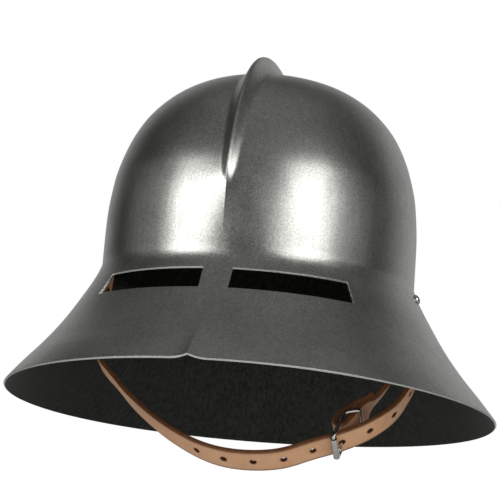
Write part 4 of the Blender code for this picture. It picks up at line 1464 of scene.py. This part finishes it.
def makeRoller(material):
    roller = buckleLayout()[1]
    half = strapShape["width"] / 2.0 + strapShape["edgeGap"] - strapShape["fitGap"]
    bore = buckleShape["barRadius"] + strapShape["fitGap"]
    radius = buckleShape["rollerRadius"]
    soft = buckleShape["rollerSoft"]
    slight = soft * roundShare
    profile = [(bore, -half), (radius - soft, -half), (radius - slight, -half + slight),
               (radius, -half + soft), (radius, half - soft), (radius - slight, half - slight),
               (radius - soft, half), (bore, half)]
    mesh = turnedMesh("buckleRoller", profile, roller, planeWide, buckleShape["rollerSides"], closed=True)
    mesh.materials.append(material)
    return finishPiece(placeMesh("buckleRoller", mesh), ["buckle_roller"])


def makeProng(material):
    hole, roller, bar = buckleLayout()
    toHole = unit(hole - bar)
    reach = float((roller - bar) @ toHole) + buckleShape["prongOverhang"]
    bore = buckleShape["barRadius"] + strapShape["fitGap"]
    half = buckleShape["hubWidth"] / 2.0
    hubRadius = buckleShape["hubRadius"]
    soft = buckleShape["hubSoft"]
    profile = [(bore, -half), (hubRadius - soft, -half), (hubRadius, -half + soft), (hubRadius, half - soft),
               (hubRadius - soft, half), (bore, half)]
    hub = turnedRings(profile, bar, planeWide, buckleShape["hubSides"], closed=True)
    start = (bore + hubRadius) / 2.0
    straight = np.linspace(start, reach - buckleShape["tipLength"], buckleShape["prongSteps"])
    steps = np.concatenate([straight, [reach - back for back, _ in prongTip]])
    radii = buckleShape["prongRadius"] * np.array([1.0] * len(straight) + [share for _, share in prongTip])
    rod = sweptBar(np.array([bar + toHole * at for at in steps]), radii)
    return joinParts("buckleProng", [hub, rod], material, "buckle_prong")


rivetShape = {
    "headRadius": 0.0036,
    "headHeight": 0.0024,
    "shankRadius": 0.0018,
    "endRadius": 0.0034,
    "endHeight": 0.0011,
    "lipHeight": 0.0002,        # upright border below the dome
    "undersideShare": 0.96,
    "domeSteps": 10,
    "sides": 44,
}


def makeRivet(name, side, material, replaced):
    spot, normal = rivetSpot(side)
    gap = strapShape["fitGap"]
    end = -(hatShape["wall"] + strapShape["seatGap"] + strapShape["thickness"] + gap)
    low = end - rivetShape["endHeight"]
    foot = rivetShape["endRadius"]
    soft = rivetShape["endHeight"] / 3.0
    slight = soft * roundShare
    head = rivetShape["headRadius"]
    lip = rivetShape["lipHeight"]
    profile = [(0.0, low), (foot - soft, low), (foot - slight, low + slight), (foot, low + soft), (foot, end),
               (rivetShape["shankRadius"], end), (rivetShape["shankRadius"], gap),
               (head * rivetShape["undersideShare"], gap)]
    for k in range(rivetShape["domeSteps"]):
        turn = math.pi / 2.0 * k / rivetShape["domeSteps"]
        rise = (rivetShape["headHeight"] - lip) * math.sin(turn)
        profile.append((head * math.cos(turn), gap + lip + rise))
    profile.append((0.0, gap + rivetShape["headHeight"]))
    mesh = turnedMesh(name, profile, spot, normal, rivetShape["sides"])
    mesh.materials.append(material)
    return finishPiece(placeMesh(name, mesh), [replaced])


nickel = makeBrightMetal("brightNickel", brightLook["buckleRoughness"])
rivetMetal = makeBrightMetal("rivetSteel", brightLook["rivetRoughness"])
makeBuckleFrame(nickel)
makeRoller(nickel)
makeProng(nickel)
makeRivet("leftRivet", 1.0, rivetMetal, "rivet_left")
makeRivet("rightRivet", -1.0, rivetMetal, "rivet_right")
print("buckle and rivets fitted")


# Floor and light

studio = {
    "floorDrop": 0.62,
    "floorSize": 6.0,
    "floorColour": (0.86, 0.86, 0.85),
    "backdrop": 1.0,            # what the camera sees behind the hat
    "front": 0.11,              # what the steel sees in front of the hat
    "frontLow": 0.02,           # the same, near the horizon
    "overhead": 0.29,
    "sides": 0.03,
    "behind": 0.67,
    "below": 0.30,
    "distance": 1.7,
}

# where each zone of the room starts and where it is full, as a coordinate of the direction from the hat
roomFades = {
    "front": (0.18, 0.42),
    "high": (0.3, 0.6),
    "middle": (0.45, 0.10),
    "back": (0.5, 0.85),
    "side": (0.5, 0.85),
    "ahead": (0.1, 0.45),
    "over": (0.45, 0.85),
    "top": (0.72, 0.98),
    "under": (0.0, 0.5),
    "backShift": 0.13,          # the back starts this much later high up in the middle
}

# name, azimuth from and to, elevation from and to in degrees, brightness
softBoxes = [
    ("leftBox", -57.0, -21.5, 6.0, 32.0, 4.6),
    ("rightBox", 39.0, 70.0, 6.0, 36.0, 4.5),
    ("rightFill", 26.0, 41.0, 5.0, 22.0, 2.0),
    ("leftRimFill", -100.0, -60.0, 4.0, 26.0, 0.24),
    ("rightRimFill", 74.0, 98.0, 4.0, 28.0, 0.34),
    ("lowFill", -30.0, 50.0, -20.0, -10.0, 2.2),
]


def makeFloor():
    half = studio["floorSize"] / 2.0
    level = -studio["floorDrop"]
    corners = [(-half, -half, level), (half, -half, level), (half, half, level), (-half, half, level)]
    pale = newMaterial("paleFloor", 0.0, 0.8, studio["floorColour"])[0]
    floor = placeMesh("studioFloor", meshOf("studioFloor", corners, [(0, 1, 2, 3)], [pale]))


def addSoftBox(name, left, right, low, high, brightness):
    # an area light that fills a stretch of the sky round the hat
    distance = studio["distance"]
    azimuth = math.radians((left + right) / 2.0)
    elevation = math.radians((low + high) / 2.0)
    width = 2.0 * distance * math.tan(math.radians((right - left) / 2.0)) * math.cos(elevation)
    height = 2.0 * distance * math.tan(math.radians((high - low) / 2.0))
    data = bpy.data.lights.new(name, "AREA")
    data.shape = "RECTANGLE"
    data.size = width
    data.size_y = height
    # an area light of this many watts shows its brightness to a mirror
    data.energy = brightness * width * height * math.pi
    lamp = bpy.data.objects.new(name, data)
    away = Vector((math.sin(azimuth) * math.cos(elevation), -math.cos(azimuth) * math.cos(elevation),
                   math.sin(elevation)))
    lamp.location = away * distance
    lamp.rotation_euler = away.to_track_quat("Z", "Y").to_euler()
    lamp.visible_camera = False
    bpy.context.collection.objects.link(lamp)


def roomLevel(tree):
    # brightness of the room in every direction from the hat
    direction = tree.nodes.new("ShaderNodeTexCoord").outputs["Generated"]
    split = tree.nodes.new("ShaderNodeSeparateXYZ")
    wire(tree, direction, split.inputs[0])
    x, y, z = split.outputs
    across = mathNode(tree, "ABSOLUTE", x)
    high = mathNode(tree, "MULTIPLY", easeNode(tree, z, roomFades["high"]),
                    easeNode(tree, across, roomFades["middle"]))
    shifted = mathNode(tree, "MULTIPLY_ADD", high, -roomFades["backShift"], y)
    back = easeNode(tree, shifted, roomFades["back"])
    side = easeNode(tree, across, roomFades["side"])
    ahead = easeNode(tree, mathNode(tree, "MULTIPLY", y, -1.0), roomFades["ahead"])
    over = mathNode(tree, "MULTIPLY", easeNode(tree, z, roomFades["over"]), ahead)
    over = mathNode(tree, "MAXIMUM", over, easeNode(tree, z, roomFades["top"]))
    under = easeNode(tree, mathNode(tree, "MULTIPLY", z, -1.0), roomFades["under"])
    level = blendNode(tree, easeNode(tree, z, roomFades["front"]), studio["frontLow"], studio["front"])
    level = blendNode(tree, side, level, studio["sides"])
    level = blendNode(tree, over, level, studio["overhead"])
    level = blendNode(tree, back, level, studio["behind"])
    return blendNode(tree, under, level, studio["below"])


def makeWorld():
    # a pale backdrop for the camera, a darker room with bright zones for the hat
    world = bpy.data.worlds.new("studioWorld")
    bpy.context.scene.world = world
    world.use_nodes = True
    tree = world.node_tree
    tree.nodes.clear()
    level = roomLevel(tree)
    seen = tree.nodes.new("ShaderNodeBackground")
    seen.inputs["Color"].default_value = (1.0, 1.0, 1.0, 1.0)
    seen.inputs["Strength"].default_value = studio["backdrop"]
    lit = tree.nodes.new("ShaderNodeBackground")
    wire(tree, level, lit.inputs["Strength"])
    choose = tree.nodes.new("ShaderNodeMixShader")
    path = tree.nodes.new("ShaderNodeLightPath")
    wire(tree, path.outputs["Is Camera Ray"], choose.inputs[0])
    wire(tree, lit.outputs[0], choose.inputs[1])
    wire(tree, seen.outputs[0], choose.inputs[2])
    out = tree.nodes.new("ShaderNodeOutputWorld")
    wire(tree, choose.outputs[0], out.inputs[0])


makeFloor()
for box in softBoxes:
    addSoftBox(*box)
makeWorld()
print("studio lit")
